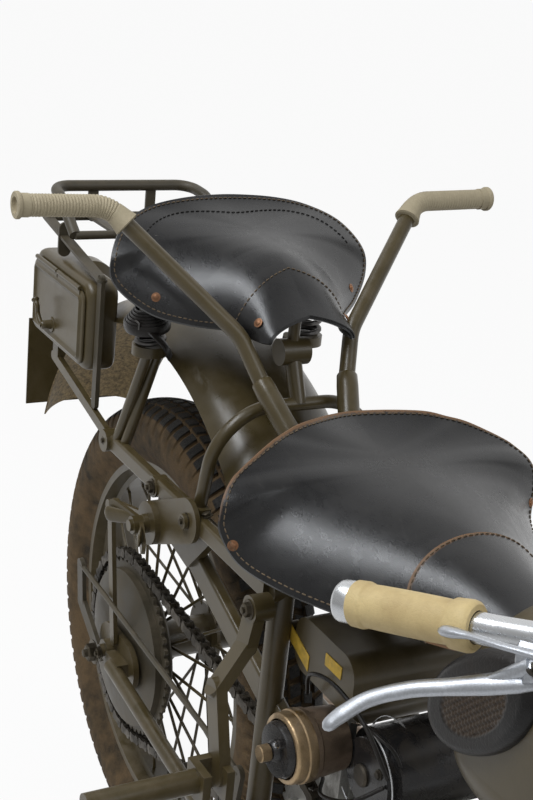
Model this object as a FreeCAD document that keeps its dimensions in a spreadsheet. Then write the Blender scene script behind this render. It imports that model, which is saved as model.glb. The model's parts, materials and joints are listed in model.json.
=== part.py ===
import FreeCAD, Part
import Sketcher
import math
import os

# Motorcycle with a sprung rear fork, a pillion saddle and a pillion handlebar.
# Frame: X forward, Y to the rider's left, Z up. The origin lies on the ground under the
# middle of the machine. Shapes are drawn with the rear axle at X = 0 and placed from there.

Vector = FreeCAD.Vector
doc = FreeCAD.newDocument("motorcycle")
sheet = doc.addObject("Spreadsheet::Sheet", "Sizes")

SIZES = {
    # Whole machine
    "wheelbase": 1455,
    "rear_axle_place": -677.8,
    "rear_lift": 12,
    "overrun": 4,
    # Tyres and rims
    "tyre_radius": 342,
    "tyre_half": 53.5,
    "tyre_bulge_radius": 296,
    "tyre_shoulder_radius": 330,
    "tyre_shoulder_half": 43,
    "bead_radius": 249,
    "bead_half": 33,
    "rim_flange_radius": 258,
    "rim_half": 37,
    "rim_wall": 3,
    "rim_well_radius": 236,
    "rim_well_half": 17,
    # Hubs, spokes and axles
    "spoke_radius": 2.2,
    "spoke_rim_offset": 8,
    "hub_radius": 27,
    "hub_flange_radius": 46,
    "hub_flange_wall": 5,
    "hub_flange_place": 42,
    "hub_half": 58,
    "axle_radius": 9,
    "axle_clearance": 0.05,
    "axle_nut_radius": 15,
    "axle_nut_depth": 11,
    "hub_side_gap": 1,
    # Rear drum, sprocket and chain on the right side
    "drum_radius": 110,
    "drum_inner": 57,
    "drum_outer": 84,
    "drum_dish": 9,
    "drum_cap_radius": 42,
    "drum_flange_radius": 116,
    "chain_line": 72,
    "sprocket_wall": 5,
    "sprocket_teeth": 52,
    "pinion_teeth": 17,
    "chain_pitch": 15.875,
    "chain_width": 14,
    "chain_plate_half": 7.5,
    "chain_waist_half": 5.5,
    "roller_radius": 5.1,
    "tooth_gap": 0.5,
    "pinion_x": 475,
    "pinion_z": 395,
    # Front drum on the left side
    "front_drum_radius": 82,
    "front_drum_inner": 48,
    "front_drum_outer": 62,
    # Rear mudguard, struck from a point above the axle for the fork's travel
    "guard_centre_z": 412,
    "guard_edge_radius": 385,
    "guard_crown_radius": 413,
    "guard_half": 82,
    "guard_wall": 2.5,
    "guard_front_angle": 38,
    "guard_sweep": 120,
    # Front mudguard
    "front_guard_edge_radius": 352,
    "front_guard_crown_radius": 368,
    "front_guard_half": 66,
    "front_guard_front_angle": 38,
    "front_guard_sweep": 150,
    # Steering head
    "head_angle": 27,
    "trail": 90,
    "head_low_z": 668,
    "head_high_z": 815,
    "head_tube_radius": 27,
    "stem_radius": 15,
    "head_gap": 1.5,
    # Main frame tubes
    "main_tube_radius": 14,
    "backbone_radius": 17,
    "seat_lug_x": 425,
    "seat_lug_z": 650,
    "cradle_half": 95,
    "cradle_z": 235,
    "cradle_front_x": 985,
    "cradle_rear_x": 455,
    "down_tube_foot_z": 300,
    "down_tube_bend": 45,
    "head_spread": 20,
    # Rear frame: rails, box struts and their joints
    "rail_y": 112,
    "rail_rear_x": -22,
    "rail_z": 647,
    "rail_height": 22,
    "rail_wall": 14,
    "rail_lug_radius": 15,
    "rail_lug_x": 135,
    "box_strut_y": 88,
    "box_strut_top_x": 150,
    "box_strut_top_z": 600,
    "box_strut_foot_x": 455,
    "box_strut_foot_z": 490,
    "box_strut_height": 34,
    "box_strut_wall": 16,
    # Rear fork
    "fork_arm_y": 119,
    "fork_arm_radius": 10,
    "fork_pivot_x": 430,
    "fork_pivot_z": 305,
    "fork_pivot_radius": 16,
    "axle_plate_y": 99,
    "axle_plate_wall": 8,
    "axle_plate_radius": 34,
    # Friction dampers and their links
    "damper_x": 150,
    "damper_z": 606,
    "damper_y": 122,
    "damper_radius": 27,
    "damper_stack": 20,
    "damper_plate_y": 121,
    "damper_plate_wall": 3,
    "damper_bolt_x": 243,
    "damper_bolt_z": 650,
    "damper_bolt_radius": 7,
    "link_low_x": 18,
    "link_high_x": 25,
    "link_high_z": 560,
    "link_width": 14,
    "link_wall": 6,
    "wing_reach": 46,
    "wing_rise": 26,
    "wing_width": 17,
    "wing_wall": 5,
    # Hoop over the mudguard and the pillion post
    "hoop_x": 258,
    "hoop_half": 106,
    "hoop_top_z": 790,
    "hoop_radius": 8,
    "hoop_bend": 70,
    "post_top_x": 232,
    "post_top_z": 846,
    "post_radius": 10,
    "post_eye_radius": 16,
    # Pillion handlebar
    "pillion_tube_radius": 11,
    "pillion_sleeve_radius": 13,
    "pillion_bend": 38,
    # Rack
    "rack_z": 882,
    "rack_rail_z": 927,
    "rack_rear_x": -300,
    "rack_front_x": -86,
    "rack_half": 112,
    "rack_tube_radius": 8,
    "rack_flat": 15,
    "rack_flat_wall": 4,
    "rack_bend": 45,
    # Tool boxes
    "box_rear_x": -310,
    "box_front_x": -98,
    "box_low_z": 718,
    "box_high_z": 842,
    "box_inner_y": 86,
    "box_face_y": 124,
    "box_wall": 2,
    "box_corner": 10,
    "lid_wall": 4,
    "lid_gap": 0.3,
    "lid_border": 6,
    "hinge_radius": 4,
    "hinge_offset": 1,
    "nose_post_x": 676,
    "nose_post_low_z": 699,
    "nose_post_high_z": 755,
    "oil_bracket_y": 70,
    "oil_bracket_z": 600,
    "engine_plate_x": 620,
    "engine_plate_length": 130,
    "engine_plate_z": 330,
    "box_bracket_x": -236,
    "box_bracket_z": 690,
    "guard_stay_x": 14,
    "guard_stay_low_z": 652,
    "guard_stay_high_z": 808,
    "guard_cross_x": 345,
    "guard_cross_z": 657,
    "hoop_foot_gap": 2,
    "rack_ring_x": -190,
    "rack_drop": 34,
    "plate_arm_x": -343.5,
    "lamp_arm_x": 1212,
    "hinge_pin_radius": 1.5,
    "hinge_ear": 6,
    "lid_drop": 14,
    "lid_catch": 20,
    # Number plate and tail lamp
    "plate_x": -400,
    "plate_low_z": 560,
    "plate_high_z": 700,
    "plate_half": 100,
    "plate_wall": 2,
    "lamp_x": -432,
    "lamp_z": 745,
    "tail_lamp_radius": 42,
    "tail_lamp_depth": 46,
    # Pillion saddle and rider's saddle: stations from the rear rim to the nose
    "pillion_rear_x": 30,
    "pillion_length": 242,
    "pillion_half": 175,
    "pillion_nose_half": 42,
    "pillion_top_z": 986,
    "pillion_nose_z": 886,
    "pillion_skirt": 82,
    "rider_rear_x": 368,
    "rider_length": 357,
    "rider_half": 197,
    "rider_nose_half": 48,
    "rider_top_z": 826,
    "rider_nose_z": 756,
    "rider_skirt": 94,
    "leather_wall": 6,
    # Saddle springs
    "spring_radius": 22,
    "spring_wire": 4,
    "pillion_spring_x": 75,
    "pillion_spring_y": 110,
    "pillion_spring_low": 812,
    "rider_spring_x": 425,
    "rider_spring_y": 100,
    "rider_spring_low": 664,
    "saddle_stay_radius": 7,
    # Fuel tank
    "tank_rear_x": 738,
    "tank_length": 341,
    "tank_half": 132,
    "tank_low_z": 640,
    "tank_high_z": 862,
    "tank_corner": 45,
    "cap_x": 960,
    "cap_radius": 32,
    "cap_height": 16,
    "pad_x": 832,
    "pad_z": 752,
    "pad_half_length": 76,
    "pad_half_height": 48,
    "pad_wall": 14,
    # Oil tank and battery box under the saddle
    "oil_rear_x": 440,
    "oil_front_x": 560,
    "oil_half": 82,
    "oil_low_z": 566,
    "oil_high_z": 630,
    "oil_corner": 24,
    # Engine
    "crank_x": 690,
    "crank_z": 365,
    "crankcase_radius": 118,
    "crankcase_half": 62,
    "barrel_z": 400,
    "barrel_rear_x": 810,
    "barrel_front_x": 972,
    "barrel_radius": 55,
    "fin_radius": 82,
    "fin_wall": 2.5,
    "fin_count": 12,
    "head_front_x": 1022,
    "head_half": 52,
    "gearbox_rear_x": 455,
    "gearbox_front_x": 600,
    "gearbox_half": 58,
    "gearbox_low_z": 262,
    "gearbox_high_z": 455,
    "gearbox_corner": 30,
    "flywheel_radius": 140,
    "flywheel_inner": 116,
    "flywheel_outer": 140,
    "flywheel_boss_radius": 34,
    "flywheel_gap": 3,
    "dynamo_x": 583,
    "dynamo_z": 512,
    "dynamo_radius": 48,
    "dynamo_right": 56.5,
    "dynamo_left": 60,
    "dynamo_band": 12,
    "coupling_x": 522,
    "coupling_z": 520,
    "coupling_ring_radius": 38,
    "coupling_disc_radius": 30,
    "coupling_inner": 70,
    "coupling_ring_outer": 130,
    "coupling_face": 152,
    # Exhaust on the left side
    "exhaust_radius": 20,
    "exhaust_x": 997,
    "exhaust_y": 168,
    "exhaust_low_z": 245,
    "exhaust_bend": 60,
    "silencer_radius": 40,
    "silencer_front_x": 360,
    "silencer_rear_x": -60,
    "silencer_cone": 60,
    # Footrests, pillion pegs and stand
    "footrest_x": 545,
    "footrest_z": 207,
    "footrest_rise_y": 126,
    "footrest_high_z": 285,
    "footrest_reach": 245,
    "footrest_tube_radius": 8,
    "footrest_rubber_radius": 15,
    "hanger_top_x": 440,
    "hanger_top_z": 640,
    "hanger_top_y": 134,
    "hanger_low_x": 478,
    "hanger_low_z": 470,
    "hanger_low_y": 178,
    "hanger_width": 24,
    "hanger_wall": 13,
    "peg_radius": 13,
    "peg_reach": 330,
    "stand_pivot_x": 470,
    "stand_pivot_z": 205,
    "stand_pin_radius": 8,
    "stand_eye_radius": 16,
    "stand_eye_y": 124,
    "stand_eye_wall": 12,
    "stand_foot_x": 505,
    "stand_foot_y": 165,
    "stand_leg_radius": 11,
    "stand_bar_z": 110,
    "stand_pad_radius": 13,
    "stand_pad_half": 35,
    "stand_fold": 78,
    # Front fork
    "girder_half": 84,
    "girder_radius": 13,
    "girder_length": 612,
    "low_link_along": 392,
    "high_link_along": 600,
    "girder_lead": 78,
    "girder_plate": 30,
    "link_radius": 10,
    "girder_low_share": 0.56,
    "fork_spring_radius": 27,
    "fork_spring_wire": 5,
    "fork_spring_turns": 8,
    # Handlebar, grips, levers and lamp
    "bar_radius": 11,
    "bar_centre_z": 905,
    "bar_rise": 22,
    "bar_bend": 55,
    "grip_radius": 18,
    "grip_cap_radius": 19,
    "grip_cap_length": 14,
    "lever_radius": 6.5,
    "lever_ball_radius": 9,
    "lamp_rear_x": 1264,
    "headlamp_z": 812,
    "headlamp_radius": 88,
    "headlamp_rim": 8,
    # Brake linkage, strap and cables
    "brake_rod_radius": 3.5,
    "brake_arm_width": 20,
    "brake_arm_wall": 6,
    "strap_width": 16,
    "strap_wall": 4,
    "cable_radius": 3.5,
}


class Size:
    """A length, with the expression that works it out from the sheet."""

    def __init__(self, value, text):
        self.value = value
        self.text = text

    def joined(self, sign, other, value):
        return Size(value, "(" + self.text + " " + sign + " " + other.text + ")")

    def __add__(self, other):
        other = as_size(other)
        return self.joined("+", other, self.value + other.value)

    def __radd__(self, other):
        return as_size(other) + self

    def __sub__(self, other):
        other = as_size(other)
        return self.joined("-", other, self.value - other.value)

    def __rsub__(self, other):
        return as_size(other) - self

    def __mul__(self, other):
        other = as_size(other)
        return self.joined("*", other, self.value * other.value)

    def __rmul__(self, other):
        return as_size(other) * self

    def __truediv__(self, other):
        other = as_size(other)
        return self.joined("/", other, self.value / other.value)

    def __neg__(self):
        return Size(-self.value, "(0 - " + self.text + ")")

    def __float__(self):
        return float(self.value)


def as_size(number):
    """Turns a plain number into a Size."""
    if isinstance(number, Size):
        return number
    return Size(float(number), format(float(number), ".6g"))


class Sizes:
    """The sheet's cells by their names."""

    def __init__(self, table):
        for row, (name, value) in enumerate(table.items(), start=1):
            sheet.set("A" + str(row), name)
            sheet.set("B" + str(row), str(value))
            sheet.setAlias("B" + str(row), name)
            setattr(self, name, Size(float(value), "Sizes." + name))


d = Sizes(SIZES)
doc.recompute()
nodes = []
FULL_TURN = 360


def vec(x, y, z):
    return Vector(float(x), float(y), float(z))


def bind(obj, **expressions):
    """Binds properties of an object to the sheet; a double underscore stands for a dot."""
    for name, value in expressions.items():
        obj.setExpression(name.replace("__", "."), as_size(value).text)


def place(obj, x=0, y=0, z=0):
    """Puts an object at a point given from the rear axle's foot."""
    bind(obj, Placement__Base__x=d.rear_axle_place + x, Placement__Base__y=as_size(y),
         Placement__Base__z=d.rear_lift + z)


def node(obj, label):
    """Names a finished sub-part, which is written to a file of that name."""
    obj.Label = label
    nodes.append(obj)
    return obj


def settled(shape):
    """The shape with its own displacement worked into its geometry."""
    matrix = shape.Placement.toMatrix()
    still = shape.copy()
    still.Placement = FreeCAD.Placement()
    still.transformShape(matrix, True)
    return still


def feature(label, shape):
    """A sub-part made with the shape functions, in the machine's own coordinates."""
    obj = doc.addObject("Part::Feature", label)
    obj.Shape = settled(shape)
    place(obj)
    return node(obj, label)


def joined(shapes):
    """One solid, or one group of solids, from shapes that meet."""
    if len(shapes) == 1:
        return shapes[0]
    return shapes[0].multiFuse(shapes[1:])


def mirrored(shape):
    """The same shape on the other side of the machine."""
    return shape.mirror(Vector(0, 0, 0), Vector(0, 1, 0))


def both_sides(shape):
    return [shape, mirrored(shape)]


def rod(start, end, radius):
    run = end - start
    return Part.makeCylinder(float(radius), run.Length, start, run)


def across(x, z, radius, y_from, y_to):
    """A round bar along Y."""
    return rod(vec(x, y_from, z), vec(x, y_to, z), radius)


def rounded_path(points, bend):
    """Straight runs through the points, joined by tangent arcs of one radius."""
    edges = []
    start = points[0]
    for before, corner, after in zip(points, points[1:], points[2:]):
        back = (before - corner).normalize()
        ahead = (after - corner).normalize()
        half = back.getAngle(ahead) / 2
        reach = float(bend) / math.tan(half)
        limit = 0.48 * min((before - corner).Length, (after - corner).Length)
        reach = min(reach, limit)
        first = corner + back * reach
        last = corner + ahead * reach
        middle = (back + ahead).normalize()
        radius = reach * math.tan(half)
        nearest = corner + middle * (reach / math.cos(half) - radius)
        edges.append(Part.LineSegment(start, first).toShape())
        edges.append(Part.Arc(first, nearest, last).toShape())
        start = last
    edges.append(Part.LineSegment(start, points[-1]).toShape())
    return Part.Wire(edges)


def bent_tube(points, radius, bend):
    """A round tube along a rounded path."""
    path = rounded_path(points, bend)
    ring = Part.Wire(Part.Circle(points[0], points[1] - points[0], float(radius)).toShape())
    return path.makePipeShell([ring], True, False)


def flat_link(start, end, width, wall, normal, round_ends=True):
    """A flat bar between two points, its wall along the normal, its ends rounded."""
    along = end - start
    length = along.Length
    along.normalize()
    side = normal.cross(along).normalize()
    normal = along.cross(side).normalize()
    half = float(width) / 2
    base = normal * (-float(wall) / 2)
    a = start + side * half + base
    b = end + side * half + base
    c = end - side * half + base
    e = start - side * half + base
    if round_ends:
        far = Part.Arc(b, end + along * half + base, c).toShape()
        near = Part.Arc(e, start - along * half + base, a).toShape()
    else:
        far = Part.LineSegment(b, c).toShape()
        near = Part.LineSegment(e, a).toShape()
    edges = [Part.LineSegment(a, b).toShape(), far, Part.LineSegment(c, e).toShape(), near]
    return Part.Face(Part.Wire(edges)).extrude(normal * float(wall))


def turned(points, axis_from, axis):
    """A solid of revolution from a closed outline."""
    outline = Part.makePolygon(points + [points[0]])
    return Part.Face(outline).revolve(axis_from, axis, FULL_TURN)


def block(x_from, x_to, y_from, y_to, z_from, z_to, corner=0):
    """A box with its long edges along Y rounded."""
    box = Part.makeBox(float(x_to) - float(x_from), float(y_to) - float(y_from),
                       float(z_to) - float(z_from), vec(x_from, y_from, z_from))
    if float(corner) > 0:
        edges = [edge for edge in box.Edges if abs(edge.tangentAt(0).y) > abs(edge.tangentAt(0).x)
                 and abs(edge.tangentAt(0).y) > abs(edge.tangentAt(0).z)]
        box = box.makeFillet(float(corner), edges)
    return box


class Mid:
    """A point that the arc between its two neighbours passes through."""

    def __init__(self, u, v):
        self.u = as_size(u)
        self.v = as_size(v)


def origin_plane(body, role):
    return [item for item in body.Origin.OriginFeatures if item.Role == role][0]


def sketch_on(body, role, outline, name):
    """A closed sketch whose points are bound to the sheet; Mid entries make arcs."""
    sketch = body.newObject("Sketcher::SketchObject", name)
    sketch.AttachmentSupport = (origin_plane(body, role), [""])
    sketch.MapMode = "FlatFace"
    corners = [point for point in outline if not isinstance(point, Mid)]
    mids = {}
    count = 0
    for point in outline:
        if isinstance(point, Mid):
            mids[count - 1] = point
        else:
            count += 1
    spots = [Vector(float(as_size(u)), float(as_size(v)), 0) for u, v in corners]
    for index, spot in enumerate(spots):
        after = spots[(index + 1) % len(spots)]
        if index in mids:
            middle = Vector(float(mids[index].u), float(mids[index].v), 0)
            turns_left = (middle - spot).cross(after - middle).z > 0
            arc = Part.Arc(spot, middle, after) if turns_left else Part.Arc(after, middle, spot)
            sketch.addGeometry(arc, False)
        else:
            sketch.addGeometry(Part.LineSegment(spot, after), False)
    ends = []
    for index, spot in enumerate(spots):
        shape = sketch.Geometry[index]
        starts_here = (shape.StartPoint - spot).Length < 1e-6
        ends.append((1, 2) if starts_here else (2, 1))
    for index in range(len(spots)):
        after = (index + 1) % len(spots)
        sketch.addConstraint(Sketcher.Constraint("Coincident", index, ends[index][1], after, ends[after][0]))
    for index, (u, v) in enumerate(corners):
        pin_point(sketch, index, ends[index][0], as_size(u), as_size(v))
    for index, middle in mids.items():
        number = sketch.addGeometry(Part.Point(Vector(float(middle.u), float(middle.v), 0)), True)
        sketch.addConstraint(Sketcher.Constraint("PointOnObject", number, 1, index))
        pin_point(sketch, number, 1, middle.u, middle.v)
    return sketch


def pin_point(sketch, geometry, end, u, v):
    """Holds one point of a sketch at two bound distances from the origin."""
    for kind, value in (("DistanceX", u), ("DistanceY", v)):
        number = sketch.addConstraint(Sketcher.Constraint(kind, -1, 1, geometry, end, float(value)))
        sketch.setExpression("Constraints[" + str(number) + "]", value.text)


def revolved_body(label, outline, angle=FULL_TURN):
    """A body revolved about its Y axis from an outline in (Y, radius)."""
    body = doc.addObject("PartDesign::Body", label)
    sketch = sketch_on(body, "YZ_Plane", outline, label + "_outline")
    turn = body.newObject("PartDesign::Revolution", label + "_turn")
    turn.Profile = sketch
    turn.ReferenceAxis = (sketch, ["H_Axis"])
    bind(turn, Angle=as_size(angle))
    sketch.Visibility = False
    return body


def padded_body(label, role, outline, length):
    """A body padded evenly to both sides of one of its planes."""
    body = doc.addObject("PartDesign::Body", label)
    sketch = sketch_on(body, role, outline, label + "_outline")
    pad = body.newObject("PartDesign::Pad", label + "_pad")
    pad.Profile = sketch
    pad.Midplane = True
    bind(pad, Length=length)
    return body


def tyre(label, x, z):
    """The tyre's section: bead, bulging walls and a flatter crown."""
    outline = [
        (-d.bead_half, d.bead_radius), Mid(-d.tyre_half, d.tyre_bulge_radius),
        (-d.tyre_shoulder_half, d.tyre_shoulder_radius), Mid(0, d.tyre_radius),
        (d.tyre_shoulder_half, d.tyre_shoulder_radius), Mid(d.tyre_half, d.tyre_bulge_radius),
        (d.bead_half, d.bead_radius)]
    body = revolved_body(label, outline)
    place(body, x, 0, z)
    return node(body, label)


# Wheels

front_axle_z = d.tyre_radius - d.rear_lift
rear_axle_z = d.tyre_radius
tyre("rear_tyre", 0, rear_axle_z)
tyre("front_tyre", d.wheelbase, front_axle_z)

SPOKE_PAIRS = 10
spoke_turn = FULL_TURN / SPOKE_PAIRS
lacing_share = 0.5


def wire_wheel(label, x, z, hub_left, hub_right):
    """Rim, hub and crossed spokes, drawn about the wheel's own centre."""
    rim_inner = d.rim_flange_radius - d.rim_wall
    well = d.rim_well_radius
    rim = [
        vec(0, -d.rim_half, d.rim_flange_radius), vec(0, -d.rim_half, d.bead_radius - d.rim_wall),
        vec(0, -d.rim_well_half - d.rim_wall, d.bead_radius - d.rim_wall * 2),
        vec(0, -d.rim_well_half, well), vec(0, d.rim_well_half, well),
        vec(0, d.rim_well_half + d.rim_wall, d.bead_radius - d.rim_wall * 2),
        vec(0, d.rim_half, d.bead_radius - d.rim_wall), vec(0, d.rim_half, d.rim_flange_radius),
        vec(0, d.rim_half - d.rim_wall, d.rim_flange_radius),
        vec(0, d.rim_half - d.rim_wall, d.bead_radius),
        vec(0, d.rim_well_half + d.rim_wall, d.bead_radius - d.rim_wall),
        vec(0, d.rim_well_half, well + d.rim_wall), vec(0, -d.rim_well_half, well + d.rim_wall),
        vec(0, -d.rim_well_half - d.rim_wall, d.bead_radius - d.rim_wall),
        vec(0, d.rim_wall - d.rim_half, d.bead_radius),
        vec(0, d.rim_wall - d.rim_half, d.rim_flange_radius)]
    bore = d.axle_radius + d.axle_clearance
    flange_in = d.hub_flange_place - d.hub_flange_wall / 2
    flange_out = d.hub_flange_place + d.hub_flange_wall / 2
    hub = [
        vec(0, -hub_right, bore), vec(0, -hub_right, d.hub_radius),
        vec(0, -flange_out, d.hub_radius), vec(0, -flange_out, d.hub_flange_radius),
        vec(0, -flange_in, d.hub_flange_radius), vec(0, -flange_in, d.hub_radius),
        vec(0, flange_in, d.hub_radius), vec(0, flange_in, d.hub_flange_radius),
        vec(0, flange_out, d.hub_flange_radius), vec(0, flange_out, d.hub_radius),
        vec(0, hub_left, d.hub_radius), vec(0, hub_left, bore)]
    pieces = [turned(rim, Vector(0, 0, 0), Vector(0, 1, 0)),
              turned(hub, Vector(0, 0, 0), Vector(0, 1, 0))]
    root = float(d.hub_flange_radius - d.hub_flange_wall)
    tip = float(well) + float(d.rim_wall) / 2
    for pair in range(SPOKE_PAIRS):
        for side, shift in ((1, 0), (-1, 0.5)):
            for lean, place_share in ((1, 0), (-1, 0.25)):
                start_angle = math.radians((pair + shift + place_share) * spoke_turn)
                end_angle = start_angle + lean * lacing_share * math.pi / 2
                flange = side * float(d.hub_flange_place)
                inboard = flange - lean * float(d.hub_flange_wall) / 4
                start = Vector(root * math.cos(start_angle), inboard, root * math.sin(start_angle))
                reach = side * float(d.spoke_rim_offset)
                swing = start_angle + (end_angle - start_angle) * root / tip * 2
                end = Vector(tip * math.cos(swing), reach, tip * math.sin(swing))
                pieces.append(rod(start, end, d.spoke_radius))
    wheel = doc.addObject("Part::Feature", label)
    wheel.Shape = joined(pieces)
    place(wheel, x, 0, z)
    return node(wheel, label)


rear_hub_half = d.axle_plate_y - d.axle_plate_wall / 2 - d.hub_side_gap
wire_wheel("rear_wire_wheel", 0, rear_axle_z, rear_hub_half, d.hub_half - d.hub_side_gap)
wire_wheel("front_wire_wheel", d.wheelbase, front_axle_z, d.hub_half, d.hub_half)

# Rear drum with its sprocket; the dished cover faces right
drum_bore = d.axle_radius + d.axle_clearance
sprocket_pitch_radius = float(d.chain_pitch) / 2 / math.sin(math.pi / float(d.sprocket_teeth))
pinion_pitch_radius = float(d.chain_pitch) / 2 / math.sin(math.pi / float(d.pinion_teeth))


def toothed_disc(x, z, teeth, pitch_radius, y):
    """A sprocket whose teeth stand inside the chain's rollers."""
    tip = pitch_radius - float(d.chain_plate_half) - float(d.tooth_gap)
    root = tip - float(d.roller_radius)
    points = []
    for tooth in range(int(float(teeth))):
        for share, radius in ((0.1, root), (0.35, tip), (0.65, tip), (0.9, root)):
            angle = 2 * math.pi * (tooth + share) / float(teeth)
            points.append(Vector(radius * math.cos(angle), 0, radius * math.sin(angle)))
    face = Part.Face(Part.makePolygon(points + [points[0]]))
    disc = face.extrude(Vector(0, float(d.sprocket_wall), 0))
    disc.translate(vec(x, y - d.sprocket_wall / 2, z))
    return disc


drum_outline = [
    (0 - d.drum_inner, drum_bore), (0 - d.drum_inner, d.drum_radius - d.overrun),
    (0 - d.drum_inner - d.overrun, d.drum_radius), (0 - d.drum_outer, d.drum_radius),
    Mid(0 - d.drum_outer - d.drum_dish * 0.8, d.drum_radius * 0.62),
    (0 - d.drum_outer - d.drum_dish, d.drum_cap_radius),
    (0 - d.drum_outer - d.drum_dish, drum_bore)]
drum_body = revolved_body("drum_shell", drum_outline)
place(drum_body, 0, 0, rear_axle_z)
ring = doc.addObject("Part::Feature", "sprocket_ring")
ring.Shape = settled(toothed_disc(0, 0, d.sprocket_teeth, sprocket_pitch_radius, 0 - d.chain_line))
place(ring, 0, 0, rear_axle_z)
bore_rod = doc.addObject("Part::Cylinder", "sprocket_bore")
bind(bore_rod, Radius=d.drum_radius - d.drum_dish, Height=d.drum_outer)
place(bore_rod, 0, 0, rear_axle_z)
bore_rod.Placement = FreeCAD.Placement(bore_rod.Placement.Base, FreeCAD.Rotation(Vector(1, 0, 0), 90))
ring_cut = doc.addObject("Part::Cut", "sprocket_cut")
ring_cut.Base = ring
ring_cut.Tool = bore_rod
rear_drum = doc.addObject("Part::Fuse", "rear_drum_sprocket")
rear_drum.Base = drum_body
rear_drum.Tool = ring_cut
node(rear_drum, "rear_drum_sprocket")


# Drive chain: one loop whose links stand out in its outline

def chain_loop():
    """The belt path round both sprockets as a list of points and outward normals."""
    big = sprocket_pitch_radius
    small = pinion_pitch_radius
    centre_big = Vector(0, 0, float(rear_axle_z))
    centre_small = Vector(float(d.pinion_x), 0, float(d.pinion_z))
    gap = centre_small - centre_big
    slope = math.atan2(gap.z, gap.x)
    open_angle = math.acos((big - small) / gap.Length)
    upper = slope + open_angle
    lower = slope - open_angle
    straight = math.sqrt(gap.Length ** 2 - (big - small) ** 2)
    big_wrap = 2 * math.pi - 2 * open_angle
    small_wrap = 2 * open_angle
    total = 2 * straight + big * big_wrap + small * small_wrap
    links = 2 * round(total / float(d.chain_pitch) / 2)

    def at(length):
        if length < big * big_wrap:
            angle = upper + length / big
            return centre_big, big, angle, 0
        length -= big * big_wrap
        if length < straight:
            return centre_big, big, lower, length
        length -= straight
        if length < small * small_wrap:
            angle = lower + length / small
            return centre_small, small, angle, 0
        return centre_small, small, upper, length - small * small_wrap

    def spot(length, offset):
        centre, radius, angle, run = at(length % total)
        outward = Vector(math.cos(angle), 0, math.sin(angle))
        ahead = Vector(-math.sin(angle), 0, math.cos(angle))
        return centre + outward * (radius + offset) + ahead * run

    return spot, total, links


spot, chain_length, chain_links = chain_loop()
link_shape_shares = ((0.12, 1), (0.38, 1), (0.5, 0), (0.62, 1), (0.88, 1), (1.0, 0))


def chain_outline(side):
    points = []
    pair_length = 2 * chain_length / chain_links
    for pair in range(chain_links // 2):
        for share, full in link_shape_shares:
            half = float(d.chain_plate_half if full else d.chain_waist_half)
            points.append(spot((pair + share) * pair_length, side * half))
    return Part.makePolygon(points + [points[0]])


chain_plates = Part.Face(chain_outline(1)).cut(Part.Face(chain_outline(-1)))
chain_shape = chain_plates.Faces[0].extrude(vec(0, d.chain_width, 0))
chain_shape.translate(vec(0, 0 - d.chain_line - d.chain_width / 2, 0))
feature("drive_chain", chain_shape)

# Saddle leather: a sheet lofted from its rear rim to its nose

saddle_station_shares = (0.0, 0.1, 0.25, 0.42, 0.62, 0.82, 1.0)
saddle_width_shares = (0.42, 0.79, 1.0, 0.83, 0.57, 0.34, 0.22)
saddle_top_shares = (1.0, 0.95, 0.81, 0.69, 0.57, 0.35, 0.0)
saddle_skirt_shares = (0.07, 0.22, 0.68, 1.0, 0.93, 0.7, 0.3)


def saddle_shape(rear_x, length, half, top_z, nose_z, skirt):
    """An arched sheet: each station has a width, a crown height and a skirt depth."""
    sections = []
    for station, width, rise, drop in zip(saddle_station_shares, saddle_width_shares,
                                          saddle_top_shares, saddle_skirt_shares):
        x = rear_x + length * station
        w = half * width
        top = nose_z + (top_z - nose_z) * rise
        edge = top - skirt * drop
        wall = d.leather_wall
        points = [vec(x, -w, edge), vec(x, w, edge), vec(x, w - wall, edge), vec(x, wall - w, edge)]
        over = Part.Arc(points[0], vec(x, 0, top), points[1]).toShape()
        rim = Part.LineSegment(points[1], points[2]).toShape()
        under = Part.Arc(points[2], vec(x, 0, top - wall), points[3]).toShape()
        far = Part.LineSegment(points[3], points[0]).toShape()
        sections.append(Part.Wire([over, rim, under, far]))
    return Part.makeLoft(sections, True, False)


def underside(leather, x, y, radius):
    """The height at which a round post of this radius meets the leather from below."""
    column = Part.makeCylinder(float(radius), leather.BoundBox.ZMax, vec(x, y, 0))
    return leather.common(column).optimalBoundingBox(False, False).ZMin - float(d.lid_gap)


# Mudguards


def mudguard(label, x, z, half, edge_radius, crown_radius, front_angle, sweep):
    """A rolled guard: a curved section turned about the wheel through part of a turn."""
    lip = edge_radius + (crown_radius - edge_radius) * 0.72
    outline = [
        (-half, edge_radius), Mid(-half * 0.72, lip), (0, crown_radius), Mid(half * 0.72, lip),
        (half, edge_radius), (half + d.guard_wall, edge_radius),
        Mid((half + d.guard_wall) * 0.72, lip + d.guard_wall * 1.2), (0, crown_radius + d.guard_wall),
        Mid((half + d.guard_wall) * -0.72, lip + d.guard_wall * 1.2),
        (-half - d.guard_wall, edge_radius)]
    body = revolved_body(label, outline, sweep)
    place(body, x, 0, z)
    bind(body, Placement__Rotation__Angle=90 - front_angle - sweep)
    body.Placement = FreeCAD.Placement(body.Placement.Base, FreeCAD.Rotation(
        Vector(0, 1, 0), float(90 - front_angle - sweep)))
    return body


rear_guard = mudguard("rear_mudguard_shell", 0, d.guard_centre_z, d.guard_half, d.guard_edge_radius,
         d.guard_crown_radius, d.guard_front_angle, d.guard_sweep)
node(rear_guard, "rear_mudguard")
front_guard = mudguard("front_mudguard_shell", d.wheelbase, front_axle_z, d.front_guard_half,
         d.front_guard_edge_radius, d.front_guard_crown_radius,
         d.front_guard_front_angle, d.front_guard_sweep)

# Steering axis: the line that meets the ground ahead of the tyre by the trail

head_lean = math.radians(float(d.head_angle))


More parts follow.
